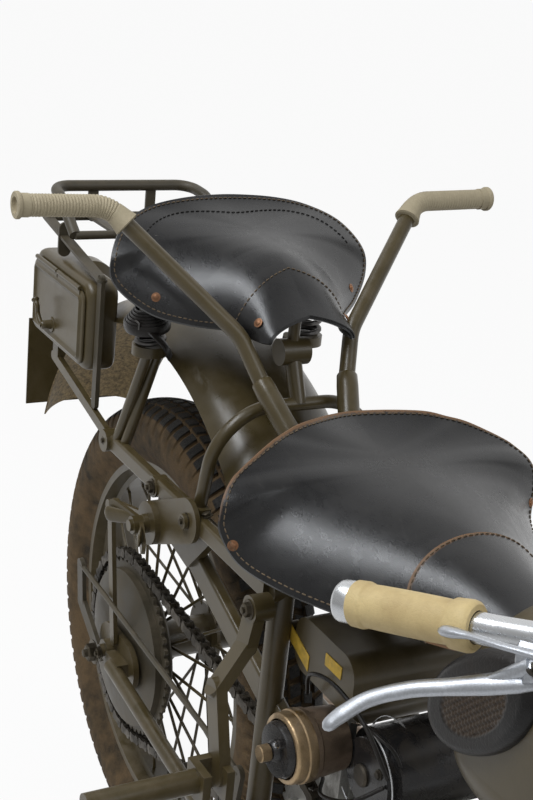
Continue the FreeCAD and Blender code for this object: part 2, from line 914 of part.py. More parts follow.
def steering_point(z, ahead=0, y=0):
    """A point beside the steering axis, at a height and a distance ahead of it."""
    foot_x = float(d.wheelbase) + float(d.trail)
    x = foot_x - (float(z) + float(d.rear_lift)) * math.tan(head_lean)
    return Vector(x + float(ahead) * math.cos(head_lean), float(y),
                  float(z) + float(ahead) * math.sin(head_lean))


steering_up = Vector(-math.sin(head_lean), 0, math.cos(head_lean))

# Main frame: head, backbone, twin down tubes and cradle

head_low = steering_point(d.head_low_z)
head_high = steering_point(d.head_high_z)
head_tube = rod(head_low, head_high, d.head_tube_radius)
head_bore = rod(head_low - steering_up * 5, head_high + steering_up * 5,
                d.stem_radius + d.axle_clearance)
backbone_front = steering_point(d.head_high_z - 45)
frame_pieces = [head_tube]
frame_pieces.append(bent_tube([backbone_front, vec(900, 0, 742), vec(d.seat_lug_x, 0, d.seat_lug_z)],
                              d.backbone_radius, 300))
for side in (1, -1):
    frame_pieces.append(bent_tube(
        [steering_point(d.head_low_z + 25, 0, 0), vec(1120, side * 45, 560),
         vec(d.cradle_front_x + 15, side * d.cradle_half, 300),
         vec(d.cradle_front_x - 35, side * d.cradle_half, d.cradle_z),
         vec(d.cradle_rear_x, side * d.cradle_half, d.cradle_z),
         vec(d.fork_pivot_x - 8, side * d.cradle_half, d.fork_pivot_z - 30),
         vec(d.seat_lug_x, side * d.cradle_half, d.seat_lug_z)],
        d.main_tube_radius, d.down_tube_bend))
frame_pieces.append(across(d.seat_lug_x, d.seat_lug_z, d.main_tube_radius, 0 - d.rail_y, d.rail_y))
frame_pieces.append(across(d.cradle_front_x - 60, d.cradle_z, d.main_tube_radius - 2,
                           0 - d.cradle_half, d.cradle_half))
frame_pieces.append(across(d.stand_pivot_x, d.stand_pivot_z, d.stand_pin_radius,
                           0 - d.stand_eye_y - d.stand_eye_wall, d.stand_eye_y + d.stand_eye_wall))
for side in (1, -1):
    frame_pieces.append(flat_link(vec(d.stand_pivot_x, side * d.cradle_half, d.stand_pivot_z),
                                  vec(d.stand_pivot_x, side * d.cradle_half, d.cradle_z),
                                  2 * d.stand_eye_radius, 10, Vector(0, 1, 0)))
frame_pieces.append(bent_tube(
    [vec(d.footrest_x, side_y, z_high) for side_y, z_high in
     ((0 - d.footrest_reach, d.footrest_high_z), (0 - d.footrest_rise_y, d.footrest_high_z),
      (0 - d.footrest_rise_y, d.cradle_z), (d.footrest_rise_y, d.cradle_z),
      (d.footrest_rise_y, d.footrest_high_z), (d.footrest_reach, d.footrest_high_z))],
    d.footrest_tube_radius, 14))
rider_leather = saddle_shape(d.rider_rear_x, d.rider_length, d.rider_half, d.rider_top_z,
                             d.rider_nose_z, d.rider_skirt)
pillion_leather = saddle_shape(d.pillion_rear_x, d.pillion_length, d.pillion_half, d.pillion_top_z,
                               d.pillion_nose_z, d.pillion_skirt)
frame_pieces.append(rod(vec(d.nose_post_x, 0, d.nose_post_low_z),
                        vec(d.nose_post_x, 0, underside(rider_leather, d.nose_post_x, 0, d.saddle_stay_radius)),
                        d.saddle_stay_radius))
for side in (1, -1):
    frame_pieces.append(rod(vec(d.seat_lug_x, side * d.oil_bracket_y, d.oil_bracket_z),
                            vec(d.oil_rear_x - d.lid_gap, side * d.oil_bracket_y, d.oil_bracket_z),
                            d.saddle_stay_radius))
    frame_pieces.append(rod(vec(d.seat_lug_x, side * d.oil_bracket_y, d.oil_bracket_z),
                            vec(d.seat_lug_x, side * d.cradle_half, d.oil_bracket_z), d.saddle_stay_radius))
    frame_pieces.append(block(d.engine_plate_x, d.engine_plate_x + d.engine_plate_length,
                              side * d.cradle_half - 5, side * d.cradle_half + 5,
                              d.cradle_z, d.engine_plate_z))
    frame_pieces.append(across(d.engine_plate_x + 12, d.engine_plate_z - 8, d.saddle_stay_radius,
                               side * (d.crankcase_half + d.lid_gap), side * d.cradle_half))
    frame_pieces.append(across(d.gearbox_rear_x + 50, d.engine_plate_z - 8, d.saddle_stay_radius,
                               side * (d.gearbox_half + d.lid_gap), side * d.cradle_half))
frame_pieces.append(across(d.silencer_front_x + 60, d.exhaust_low_z, d.saddle_stay_radius,
                           d.cradle_half, d.exhaust_y - d.exhaust_radius - d.lid_gap))
frame_pieces.append(rod(vec(d.seat_lug_x, 0, d.seat_lug_z), vec(376, 0, 678), 10))
frame_pieces.append(block(356, 388, -16, 16, 672, 690 - d.lid_gap))
pivot_bore = across(d.fork_pivot_x, d.fork_pivot_z, d.fork_pivot_radius + d.lid_gap,
                    0 - d.rail_y, d.rail_y)
frame_shape = joined(frame_pieces).cut(head_bore).cut(pivot_bore)
feature("main_frame", frame_shape)

# Rear frame: flat rails, pressed box struts, cross tubes, seat stays


def rounded_bar(start, end, height, wall, side):
    """A pressed bar with softened edges along its length."""
    bar = flat_link(start, end, height, wall, Vector(0, 1, 0), False)
    run = (end - start).normalize()
    long_edges = [edge for edge in bar.Edges if abs(edge.tangentAt(0).dot(run)) > 0.99]
    return bar.makeFillet(min(float(height), float(wall)) * 0.28, long_edges)


rail_rear = vec(d.rail_rear_x, 0 - d.rail_y, d.rail_z)
rail_front = vec(d.seat_lug_x, 0 - d.rail_y, d.seat_lug_z)
strut_top = vec(d.box_strut_top_x, 0 - d.box_strut_y, d.box_strut_top_z)
strut_foot = vec(d.box_strut_foot_x, 0 - d.box_strut_y, d.box_strut_foot_z)
rail = rounded_bar(rail_rear, rail_front, d.rail_height, d.rail_wall, 1)
box_strut = rounded_bar(strut_top, strut_foot, d.box_strut_height, d.box_strut_wall, 1)
gusset = Part.Face(Part.makePolygon([
    vec(d.box_strut_top_x - 35, 0 - d.box_strut_y - 14, d.box_strut_top_z - 12),
    vec(d.box_strut_top_x + 60, 0 - d.box_strut_y - 14, d.box_strut_top_z - 30),
    vec(d.damper_bolt_x + 40, 0 - d.box_strut_y - 14, d.rail_z),
    vec(d.box_strut_top_x - 35, 0 - d.box_strut_y - 14, d.rail_z),
    vec(d.box_strut_top_x - 35, 0 - d.box_strut_y - 14, d.box_strut_top_z - 12)]))
gusset = gusset.extrude(vec(0, 12, 0))
rear_lug = across(d.rail_rear_x, d.rail_z, d.rail_lug_radius, 0 - d.rail_y - 12, 0 - d.rail_y + 12)
mid_lug = across(d.rail_lug_x, d.rail_z, d.rail_lug_radius * 0.9, 0 - d.rail_y - 9, 0 - d.rail_y + 9)
stay_top_z = d.pillion_spring_low - d.saddle_stay_radius - d.lid_gap
seat_stay = rod(vec(d.rail_rear_x + d.rail_lug_radius, 0 - d.rail_y, d.rail_z),
                vec(d.pillion_spring_x, 0 - d.pillion_spring_y, stay_top_z), d.saddle_stay_radius)
seat_cup = rod(vec(d.pillion_spring_x, 0 - d.pillion_spring_y, stay_top_z - d.leather_wall),
               vec(d.pillion_spring_x, 0 - d.pillion_spring_y, d.pillion_spring_low - d.lid_gap),
               d.spring_radius)
tail_stay = flat_link(vec(d.rail_rear_x, 0 - d.rail_y, d.rail_z),
                      vec(-245, 0 - d.rail_y, 692), 14, 8, Vector(0, 1, 0))
box_bracket = block(d.box_bracket_x - 10, d.box_bracket_x + 10, 0 - d.rail_y - 4, 0 - d.rail_y + 4,
                    d.box_bracket_z, d.box_low_z - d.lid_gap)
guard_stay = rod(vec(d.guard_stay_x, 4 - d.rail_y, d.guard_stay_low_z),
                 vec(d.guard_stay_x + 52, 0 - d.guard_half - d.guard_wall - 5.6, d.guard_stay_high_z), 7)
right_rear = joined([rail, rear_lug, mid_lug, box_strut, gusset, seat_stay, seat_cup, tail_stay, box_bracket,
                     guard_stay])
rear_cross = across(d.box_strut_foot_x, d.box_strut_foot_z, d.main_tube_radius - 2,
                    0 - d.cradle_half, d.cradle_half)
guard_cross = across(d.guard_cross_x, d.guard_cross_z, d.saddle_stay_radius, 0 - d.rail_y, d.rail_y)
feature("rear_frame", joined(both_sides(right_rear) + [rear_cross, guard_cross]).cut(frame_shape))

# Rear fork: arms, pivot tube, axle plates and the axle

plate_y = d.axle_plate_y
pivot = across(d.fork_pivot_x, d.fork_pivot_z, d.fork_pivot_radius, 0 - d.fork_arm_y - 14, d.fork_arm_y + 14)
arm_eye = across(d.fork_pivot_x, d.fork_pivot_z, d.fork_pivot_radius + 5, 0 - d.fork_arm_y - 11,
                 0 - d.fork_arm_y + 9)
arm = rod(vec(d.fork_pivot_x, 0 - d.fork_arm_y, d.fork_pivot_z),
          vec(40, 0 - d.fork_arm_y, rear_axle_z), d.fork_arm_radius)
axle_plate = flat_link(vec(-8, 0 - plate_y, rear_axle_z), vec(48, 0 - plate_y, rear_axle_z),
                       2 * d.axle_plate_radius, d.axle_plate_wall, Vector(0, 1, 0))
axle_end = plate_y + d.axle_plate_wall / 2 + d.axle_nut_depth
nut = across(0, rear_axle_z, d.axle_nut_radius, 0 - axle_end, 0 - plate_y)
axle = across(0, rear_axle_z, d.axle_radius, 0 - axle_end - 6, axle_end + 6)
arm_block = block(20, 62, 0 - d.fork_arm_y, 0 - plate_y, rear_axle_z - 10, rear_axle_z + 10)
fork_side = joined([arm, axle_plate, nut, arm_block, arm_eye])
feature("rear_fork", joined(both_sides(fork_side) + [pivot, axle]))

# Friction dampers on both sides: bracket plate, discs, arm, wing nut and the link to the axle


def damper_set():
    y = 0 - d.damper_y
    boss = vec(d.damper_x, y, d.damper_z)
    bolt = vec(d.damper_bolt_x, y, d.damper_bolt_z)
    face = y - d.damper_stack / 2
    plate = flat_link(boss, bolt, 2 * d.damper_radius, d.damper_plate_wall * 2, Vector(0, 1, 0))
    discs = across(d.damper_x, d.damper_z, d.damper_radius, face, y + d.damper_stack / 2)
    arm_end = vec(d.link_high_x, y, d.link_high_z + d.link_width)
    arm = flat_link(boss, arm_end, d.link_width + 2, d.link_wall, Vector(0, 1, 0))
    bolt_head = across(d.damper_bolt_x, d.damper_bolt_z, d.damper_bolt_radius * 1.3,
                       y - d.damper_plate_wall * 3, y)
    screw = across(d.damper_x, d.damper_z, d.axle_radius * 0.8, face - 24, face)
    pieces = [plate, discs, arm, bolt_head, screw]
    for way in (1, -1):
        hub = vec(d.damper_x, face - 8, d.damper_z)
        tip = hub + vec(-way * d.wing_reach, -d.wing_rise * 0.6, way * d.wing_reach * 0.16)
        pieces.append(flat_link(hub, tip, d.wing_width, d.wing_wall, Vector(0, 1, 0)))
    pieces.append(across(d.damper_x, d.damper_z, d.damper_bolt_radius * 1.6, face - 20, face))
    low = vec(d.link_low_x, 0 - plate_y - d.axle_plate_wall / 2 - d.link_wall / 2 - 1.2, rear_axle_z + 24)
    high = vec(d.link_high_x, y - d.link_wall * 0.5, d.link_high_z)
    pieces.append(flat_link(low, high, d.link_width, d.link_wall, Vector(0, 1, 0)))
    pieces.append(across(d.link_high_x, d.link_high_z + d.link_width, d.link_width * 0.62,
                         y - 9, y + 6))
    return joined(pieces)


damper_right = damper_set()
feature("friction_dampers", Part.makeCompound(both_sides(damper_right)))

# Hoop over the guard with the post that carries the pillion saddle's nose

foot_z = d.rail_z + d.rail_height / 2 + d.hoop_foot_gap
hoop = bent_tube([vec(d.hoop_x - 20, 0 - d.hoop_half, foot_z + 4),
                  vec(d.hoop_x, 0 - d.hoop_half, d.hoop_top_z - 40),
                  vec(d.hoop_x, -60, d.hoop_top_z), vec(d.hoop_x, 60, d.hoop_top_z),
                  vec(d.hoop_x, d.hoop_half, d.hoop_top_z - 40),
                  vec(d.hoop_x - 20, d.hoop_half, foot_z + 4)], d.hoop_radius, d.hoop_bend)
post_top = vec(d.post_top_x, 0, d.post_top_z)
post = rod(vec(d.hoop_x, 0, d.hoop_top_z), post_top, d.post_radius)
eye = across(d.post_top_x, d.post_top_z, d.post_eye_radius, -18, 18)
foot_plates = [block(d.hoop_x - 36, d.hoop_x - 4, side * d.hoop_half - 7, side * d.hoop_half + 7,
                     foot_z, foot_z + 6) for side in (1, -1)]
nose_bolt = rod(post_top, vec(d.post_top_x, 0, underside(pillion_leather, d.post_top_x, 0, d.saddle_stay_radius)),
                d.saddle_stay_radius)
feature("guard_hoop", joined([hoop, post, eye, nose_bolt] + foot_plates))

# Pillion handlebar: two stems rise from a clamp on the backbone


def pillion_stem(side):
    collar = vec(266, side * 57, 825)
    foot = vec(372, side * 16, 716)
    low_bend = vec(239, side * 73, 870)
    knee = vec(147, side * 205, 1001)
    tip = vec(150, side * 308, 1004)
    tube = bent_tube([foot, collar, low_bend, knee, tip], d.pillion_tube_radius, d.pillion_bend)
    sleeve = rod(foot, collar, d.pillion_sleeve_radius)
    return [tube, sleeve]


clamp = block(352, 392, -34, 34, 690, 730)
feature("pillion_handlebar", joined(pillion_stem(1) + pillion_stem(-1) + [clamp]))


def pillion_grip(side):
    knee = vec(147, side * 205, 1001)
    tip = vec(150, side * 309, 1004)
    inner = knee + (vec(239, side * 73, 870) - knee) * 0.145
    sleeve = bent_tube([inner, knee, tip], 14.5, d.pillion_bend)
    flange = rod(tip, tip + vec(0, side * 4, 0), 16.5)
    grip = joined([sleeve, flange])
    hole = bent_tube([inner + (inner - knee) * 0.3, knee, vec(150, side * 308.5, 1004)],
                     d.pillion_tube_radius + d.lid_gap, d.pillion_bend)
    return grip.cut(hole)


feature("pillion_grips", Part.makeCompound([pillion_grip(1), pillion_grip(-1)]))

# Luggage rack

rack_pieces = []
rail_corner = d.rack_bend
rack_ring = bent_tube([
    vec(d.rack_ring_x, 0 - d.rack_half, d.rack_z), vec(d.rack_rear_x + 50, 0 - d.rack_half, d.rack_rail_z - 6),
    vec(d.rack_rear_x, 0 - d.rack_half + 6, d.rack_rail_z), vec(d.rack_rear_x, d.rack_half - 6, d.rack_rail_z),
    vec(d.rack_rear_x + 50, d.rack_half, d.rack_rail_z - 6), vec(d.rack_ring_x, d.rack_half, d.rack_z)],
    d.rack_tube_radius, rail_corner)
rack_pieces.append(rack_ring)
rack_pieces.append(across(d.rack_rear_x, d.rack_z, d.rack_tube_radius - 2, 0 - d.rack_half, d.rack_half))
rack_pieces.append(across(d.rack_ring_x, d.rack_z, d.rack_tube_radius - 2, 0 - d.rack_half, d.rack_half))
for side in (1, -1):
    rack_pieces.append(flat_link(vec(d.rack_rear_x, side * d.rack_half, d.rack_z),
                                 vec(d.rack_front_x, side * d.rack_half, d.rack_z - d.rack_drop), d.rack_flat,
                                 d.rack_flat_wall, Vector(0, 0, 1)))
    rack_pieces.append(flat_link(vec(d.rack_rear_x, side * 45, d.rack_z),
                                 vec(d.rack_rear_x, side * 45, d.rack_rail_z), d.rack_flat,
                                 d.rack_flat_wall, Vector(1, 0, 0)))
    rack_pieces.append(flat_link(vec(-230, side * d.rack_half, d.rack_z),
                                 vec(-230, side * d.rack_half, d.box_high_z + 9 + d.lid_gap), 18,
                                 d.rack_flat_wall, Vector(1, 0, 0)))
    rack_pieces.append(flat_link(vec(d.rack_front_x, side * d.rack_half, d.rack_z - d.rack_drop),
                                 vec(d.rack_front_x, side * d.rack_half, d.rail_z + 27.6), 14,
                                 d.rack_flat_wall + 2, Vector(0, 1, 0)))
for number in range(3):
    rack_pieces.append(flat_link(vec(d.rack_rear_x, (number - 1) * 50, d.rack_z + 3),
                                 vec(d.rack_ring_x, (number - 1) * 50, d.rack_z + 3), d.rack_flat,
                                 d.rack_flat_wall, Vector(0, 0, 1)))
feature("luggage_rack", joined(rack_pieces))

# Tool boxes with top-hinged lids


def face_towards(shape, direction):
    """The name of the outermost flat face that looks along a direction."""
    best = None
    for number, face in enumerate(shape.Faces, start=1):
        if face.Surface.TypeId != "Part::GeomPlane":
            continue
        if face.normalAt(0, 0).dot(direction) > 0.99:
            reach = face.CenterOfMass.dot(direction)
            if best is None or reach > best[0]:
                best = (reach, number)
    return "Face" + str(best[1])


hinge_z = d.box_high_z - d.lid_drop
hinge_y = d.box_face_y + d.lid_gap + d.hinge_radius + d.hinge_offset


def tool_box(side, label):
    """A pressed case open on its outer face, with ears that hold the hinge pin."""
    body = padded_body(label + "_shell", "XZ_Plane", [
        (d.box_rear_x, d.box_low_z), (d.box_front_x, d.box_low_z),
        (d.box_front_x, d.box_high_z), (d.box_rear_x, d.box_high_z)], d.box_face_y - d.box_inner_y)
    doc.recompute()
    pad = body.Tip
    corners = [edge for edge in range(1, len(pad.Shape.Edges) + 1)
               if abs(pad.Shape.Edges[edge - 1].tangentAt(0).y) > 0.99]
    fillet = body.newObject("PartDesign::Fillet", label + "_corners")
    fillet.Base = (pad, ["Edge" + str(edge) for edge in corners])
    bind(fillet, Radius=d.box_corner)
    doc.recompute()
    hollow = body.newObject("PartDesign::Thickness", label + "_hollow")
    hollow.Base = (fillet, [face_towards(fillet.Shape, Vector(0, side, 0))])
    bind(hollow, Value=d.box_wall)
    hollow.Reversed = True
    place(body, 0, side * (d.box_face_y + d.box_inner_y) / 2, 0)
    pin = doc.addObject("Part::Feature", label + "_pin")
    ends = []
    for end_x, way in ((d.box_rear_x + d.lid_border, 1), (d.box_front_x - d.lid_border, -1)):
        ear_y = side * d.box_face_y
        ear_far = side * (hinge_y + d.hinge_radius)
        low = min(float(ear_y), float(ear_far))
        high = max(float(ear_y), float(ear_far))
        ears = Part.makeBox(float(d.hinge_ear), high - low, 2 * float(d.hinge_radius),
                            vec(end_x - d.hinge_ear / 2, low, hinge_z - d.hinge_radius))
        ends.append(ears)
    bar = rod(vec(d.box_rear_x + d.lid_border, side * hinge_y, hinge_z),
              vec(d.box_front_x - d.lid_border, side * hinge_y, hinge_z), d.hinge_pin_radius)
    pin.Shape = joined(ends + [bar])
    place(pin)
    whole = doc.addObject("Part::Fuse", label)
    whole.Base = body
    whole.Tool = pin
    return node(whole, label)


def box_lid(side, label):
    """A pressed lid with a raised border, its hinge barrel and a cranked catch."""
    inset = d.lid_border + d.hinge_ear
    low_z = d.box_low_z + d.lid_gap
    x_from = d.box_rear_x + d.lid_gap
    x_to = d.box_front_x - d.lid_gap
    y_in = d.box_face_y + d.lid_gap
    sheet_plate = block(x_from, x_to, y_in, y_in + d.lid_wall, low_z, hinge_z, 0)
    raised = block(x_from + 2 * inset, x_to - 2 * inset, y_in + d.lid_wall, y_in + d.lid_wall + 2,
                   low_z + inset, hinge_z - 2 * inset, 0)
    notch = [block(x - d.hinge_ear, x + d.hinge_ear, y_in - 1, y_in + d.lid_wall + 1,
                   hinge_z - 2 * d.hinge_radius, hinge_z + 1, 0)
             for x in (d.box_rear_x + d.lid_border, d.box_front_x - d.lid_border)]
    barrel = rod(vec(x_from + inset, hinge_y, hinge_z), vec(x_to - inset, hinge_y, hinge_z),
                 d.hinge_radius)
    bore = rod(vec(x_from, hinge_y, hinge_z), vec(x_to, hinge_y, hinge_z),
               d.hinge_pin_radius + d.axle_clearance)
    catch_x = (x_from + x_to) / 2 - d.lid_catch
    catch_z = low_z + d.lid_catch * 0.8
    boss = across(catch_x, catch_z, d.hinge_radius, y_in + d.lid_wall, y_in + d.lid_catch)
    crank = bent_tube([vec(catch_x, y_in + d.lid_catch - 3, catch_z - 3),
                       vec(catch_x - 4, y_in + d.lid_catch - 3, catch_z + 22),
                       vec(catch_x - 26, y_in + d.lid_catch - 3, catch_z + 30)],
                      d.hinge_radius * 0.9, 8)
    lid = joined([sheet_plate, raised, boss, crank]).cut(Part.makeCompound(notch))
    lid = lid.fuse(barrel).cut(bore)
    if side < 0:
        lid = mirrored(lid)
    return feature(label, lid)


tool_box(-1, "tool_box_right")
tool_box(1, "tool_box_left")
box_lid(-1, "box_lid_right")
box_lid(1, "box_lid_left")

# Number plate and tail lamp on the rear mudguard

plate = block(d.plate_x, d.plate_x + d.plate_wall, 0 - d.plate_half, d.plate_half,
              d.plate_low_z, d.plate_high_z)
plate_arm = block(d.plate_x + d.plate_wall, d.plate_arm_x, -12, 12, d.plate_high_z - 50,
                  d.plate_high_z - 34)
lamp_front_x = d.lamp_x + d.tail_lamp_depth
lamp_tongue = block(lamp_front_x + d.lid_gap, lamp_front_x + 4, -15, 15, d.plate_high_z - 50, d.lamp_z + 18)
plate_piece = doc.addObject("Part::Feature", "plate")
plate_piece.Shape = joined([plate, plate_arm, lamp_tongue])
place(plate_piece)
lamp_body = revolved_body("lamp_shell", [
    (0, 0), (0, d.tail_lamp_radius * 0.55), (d.tail_lamp_depth * 0.3, d.tail_lamp_radius),
    (d.tail_lamp_depth, d.tail_lamp_radius), Mid(d.tail_lamp_depth * 1.15, d.tail_lamp_radius * 0.6),
    (d.tail_lamp_depth * 1.2, 0)])
place(lamp_body, d.lamp_x + d.tail_lamp_depth, 0, d.lamp_z)
lamp_body.Placement = FreeCAD.Placement(lamp_body.Placement.Base,
                                        FreeCAD.Rotation(Vector(0, 0, 1), 90))
plate_and_lamp = doc.addObject("Part::Compound", "plate_and_lamp")
plate_and_lamp.Links = [plate_piece, lamp_body]
node(plate_and_lamp, "number_plate_lamp")

# Saddles and their springs

feature("pillion_saddle", pillion_leather)
feature("rider_saddle", rider_leather)


def coil(x, y, low, high, radius, wire):
    """A closely wound spring drawn as its turns' outline."""
    turns = int((float(high) - float(low)) / (2.6 * float(wire)))
    step = (float(high) - float(low)) / turns
    outline = [vec(x, y, low)]
    for turn in range(turns):
        base = float(low) + turn * step
        outline.append(vec(x + radius - wire, y, base))
        outline.append(vec(x + radius, y, base + step * 0.5))
    outline.append(vec(x + radius - wire, y, high))
    outline.append(vec(x, y, high))
    return turned(outline, vec(x, y, low), Vector(0, 0, 1))


springs = []
for side in (1, -1):
    pillion_y = side * d.pillion_spring_y
    rider_y = side * d.rider_spring_y
    springs.append(coil(d.pillion_spring_x, pillion_y, d.pillion_spring_low,
                        underside(pillion_leather, d.pillion_spring_x, pillion_y, d.spring_radius),
                        d.spring_radius, d.spring_wire))
    springs.append(coil(d.rider_spring_x, rider_y, d.rider_spring_low + d.lid_gap,
                        underside(rider_leather, d.rider_spring_x, rider_y, d.spring_radius),
                        d.spring_radius, d.spring_wire))
feature("saddle_springs", Part.makeCompound(springs))

# Fuel tank: lofted sections, with a tunnel over the backbone

tank_station_shares = (0.0, 0.06, 0.3, 0.65, 0.94, 1.0)
tank_width_shares = (0.5, 0.86, 1.0, 0.98, 0.66, 0.4)
tank_top_shares = (0.55, 0.68, 0.92, 1.0, 0.95, 0.85)
tank_low_shares = (0.22, 0.06, 0.0, 0.1, 0.42, 0.5)


def tank_section(x, w, low, high):
    tall = high - low
    a = vec(x, -w * 0.7, low)
    b = vec(x, w * 0.7, low)
    c = vec(x, w, low + tall * 0.22)
    e = vec(x, w, low + tall * 0.5)
    top = vec(x, 0, high)
    f = vec(x, -w, low + tall * 0.5)
    g = vec(x, -w, low + tall * 0.22)
    return Part.Wire([
        Part.LineSegment(a, b).toShape(), Part.Arc(b, vec(x, w * 0.93, low + tall * 0.07), c).toShape(),
        Part.LineSegment(c, e).toShape(), Part.Arc(e, vec(x, w * 0.78, low + tall * 0.87), top).toShape(),
        Part.Arc(top, vec(x, -w * 0.78, low + tall * 0.87), f).toShape(),
        Part.LineSegment(f, g).toShape(), Part.Arc(g, vec(x, -w * 0.93, low + tall * 0.07), a).toShape()])


tank_rise = d.tank_high_z - d.tank_low_z
tank_sections = []
for station, width, top, low in zip(tank_station_shares, tank_width_shares, tank_top_shares, tank_low_shares):
    tank_sections.append(tank_section(d.tank_rear_x + d.tank_length * station, d.tank_half * width,
                                      d.tank_low_z + tank_rise * low, d.tank_low_z + tank_rise * top))
backbone_path = [backbone_front, vec(900, 0, 742), vec(d.seat_lug_x, 0, d.seat_lug_z)]
slot_half = d.backbone_radius + d.lid_gap
slot = Part.Face(Part.makePolygon([
    vec(d.seat_lug_x, 0 - slot_half, 560), vec(1140, 0 - slot_half, 560), vec(1140, 0 - slot_half, 790),
    vec(900, 0 - slot_half, 742), vec(d.seat_lug_x, 0 - slot_half, d.seat_lug_z),
    vec(d.seat_lug_x, 0 - slot_half, 560)])).extrude(vec(0, 2 * slot_half, 0))
tunnel = joined([slot, bent_tube(backbone_path, slot_half, 300)])
tank_shape = Part.makeLoft(tank_sections, True, False).cut(tunnel)
cap_z = d.tank_high_z - 6
cap = rod(vec(d.cap_x, 0, cap_z - 8), vec(d.cap_x, 0, cap_z + d.cap_height), d.cap_radius)
feature("fuel_tank", joined([tank_shape, cap.cut(tunnel)]))
pad_ring = Part.Ellipse(vec(d.pad_x, 0, d.pad_z), float(d.pad_half_length), float(d.pad_half_height))
pad_ring.Axis = Vector(0, 1, 0)
pad_face = Part.Face(Part.Wire(pad_ring.toShape()))
pad_solid = pad_face.extrude(vec(0, 60, 0))
pad_solid.translate(vec(0, 0 - d.tank_half - d.pad_wall, 0))
pad_right = pad_solid.cut(tank_shape)
pad_right = sorted(pad_right.Solids, key=lambda solid: solid.CenterOfMass.y)[0]
feature("knee_pads", Part.makeCompound(both_sides(pad_right)))

# Oil tank under the rider's saddle

feature("oil_tank", block(d.oil_rear_x, d.oil_front_x, 0 - d.oil_half, d.oil_half,
                          d.oil_low_z, d.oil_high_z, d.oil_corner))

# Engine: crankcase, finned barrel and head, gearbox, flywheel, dynamo, coupling

crankcase = joined([
    across(d.crank_x, d.crank_z, d.crankcase_radius, 0 - d.crankcase_half, d.crankcase_half),
    rod(vec(d.crank_x, 0, d.barrel_z), vec(d.barrel_rear_x - d.lid_gap, 0, d.barrel_z), d.barrel_radius + 5),
    across(d.crank_x + 70, d.crank_z + 62, 38, 0 - d.crankcase_half - 16, 0)])
fin_step = float(d.barrel_front_x - d.barrel_rear_x) / float(d.fin_count)
comb = [vec(d.barrel_rear_x, 0, d.barrel_z)]
for number in range(int(float(d.fin_count))):
    base_x = float(d.barrel_rear_x) + number * fin_step
    comb += [vec(base_x, 0, d.barrel_z + d.barrel_radius),
             vec(base_x + fin_step - d.fin_wall * 2, 0, d.barrel_z + d.barrel_radius),
             vec(base_x + fin_step - d.fin_wall * 2, 0, d.barrel_z + d.fin_radius),
             vec(base_x + fin_step, 0, d.barrel_z + d.fin_radius)]
comb.append(vec(d.barrel_front_x, 0, d.barrel_z))
barrel = turned(comb, vec(0, 0, d.barrel_z), Vector(1, 0, 0))
head = block(d.barrel_front_x, d.head_front_x, 0 - d.head_half, d.head_half,
             d.barrel_z - d.barrel_radius, d.barrel_z + d.barrel_radius, 14)
feature("cylinder", joined([barrel, head]))
gearbox_case = block(d.gearbox_rear_x, d.crank_x - d.crankcase_radius - d.lid_gap, 0 - d.gearbox_half,
                     d.gearbox_half, d.gearbox_low_z, d.gearbox_high_z, d.gearbox_corner)
coupling_arm = block(502, 540, d.lid_gap - d.coupling_inner, 1 - d.gearbox_half, 440, 545)
pinion = toothed_disc(d.pinion_x, d.pinion_z, d.pinion_teeth, pinion_pitch_radius, 0 - d.chain_line)
pinion_shaft = across(d.pinion_x, d.pinion_z, 16, 0 - d.chain_line - 10, 0 - d.gearbox_half)
feature("gearbox", joined([gearbox_case, coupling_arm, pinion, pinion_shaft]))
fly_ring = across(d.crank_x, d.crank_z, d.flywheel_radius, d.flywheel_inner, d.flywheel_outer)
fly_dish = across(d.crank_x, d.crank_z, d.flywheel_radius - 26, d.flywheel_inner + 12, d.flywheel_outer + 1)
fly_holes = [across(d.crank_x + 62 * math.cos(turn * math.pi / 3), d.crank_z + 62 * math.sin(turn * math.pi / 3),
                    18, d.flywheel_inner - 1, d.flywheel_outer + 1) for turn in range(6)]
fly_boss = across(d.crank_x, d.crank_z, d.flywheel_boss_radius, d.flywheel_inner - 4, d.flywheel_outer)
fly_bore = across(d.crank_x, d.crank_z, d.axle_radius * 1.5 + d.axle_clearance,
                  d.flywheel_inner - 10, d.flywheel_outer + 10)
flywheel = fly_ring.cut(Part.makeCompound([fly_dish] + fly_holes)).fuse(fly_boss).cut(fly_bore)
feature("flywheel", flywheel)
feature("crankcase", joined([
    crankcase,
    across(d.crank_x, d.crank_z, d.axle_radius * 1.5, d.crankcase_half, d.flywheel_outer + 14),
    across(d.crank_x, d.crank_z, 40, d.crankcase_half, d.crankcase_half + 22),
    across(d.crank_x, d.crank_z, 22, d.flywheel_outer + 1, d.flywheel_outer + 12)]))
dynamo_drum = across(d.dynamo_x, d.dynamo_z, d.dynamo_radius, 0 - d.dynamo_right, d.dynamo_left)
dynamo_cap = across(d.dynamo_x, d.dynamo_z, d.dynamo_radius - 9, 0 - d.dynamo_right - 12, d.dynamo_left + 12)
dynamo_cradle = block(520, 600, -40, 40, d.gearbox_high_z + d.lid_gap, d.dynamo_z - 15)
feature("dynamo", joined([dynamo_drum, dynamo_cap, dynamo_cradle]))
coupling_ring = across(d.coupling_x, d.coupling_z, d.coupling_ring_radius, 0 - d.coupling_ring_outer,
                       0 - d.coupling_inner)
coupling_disc = across(d.coupling_x, d.coupling_z, d.coupling_disc_radius, 0 - d.coupling_face,
                       0 - d.coupling_ring_outer)
coupling_nut = across(d.coupling_x, d.coupling_z, 9, 0 - d.coupling_face - 8, 0 - d.coupling_face)
feature("side_coupling", joined([coupling_ring, coupling_disc, coupling_nut]))

# Exhaust on the left side

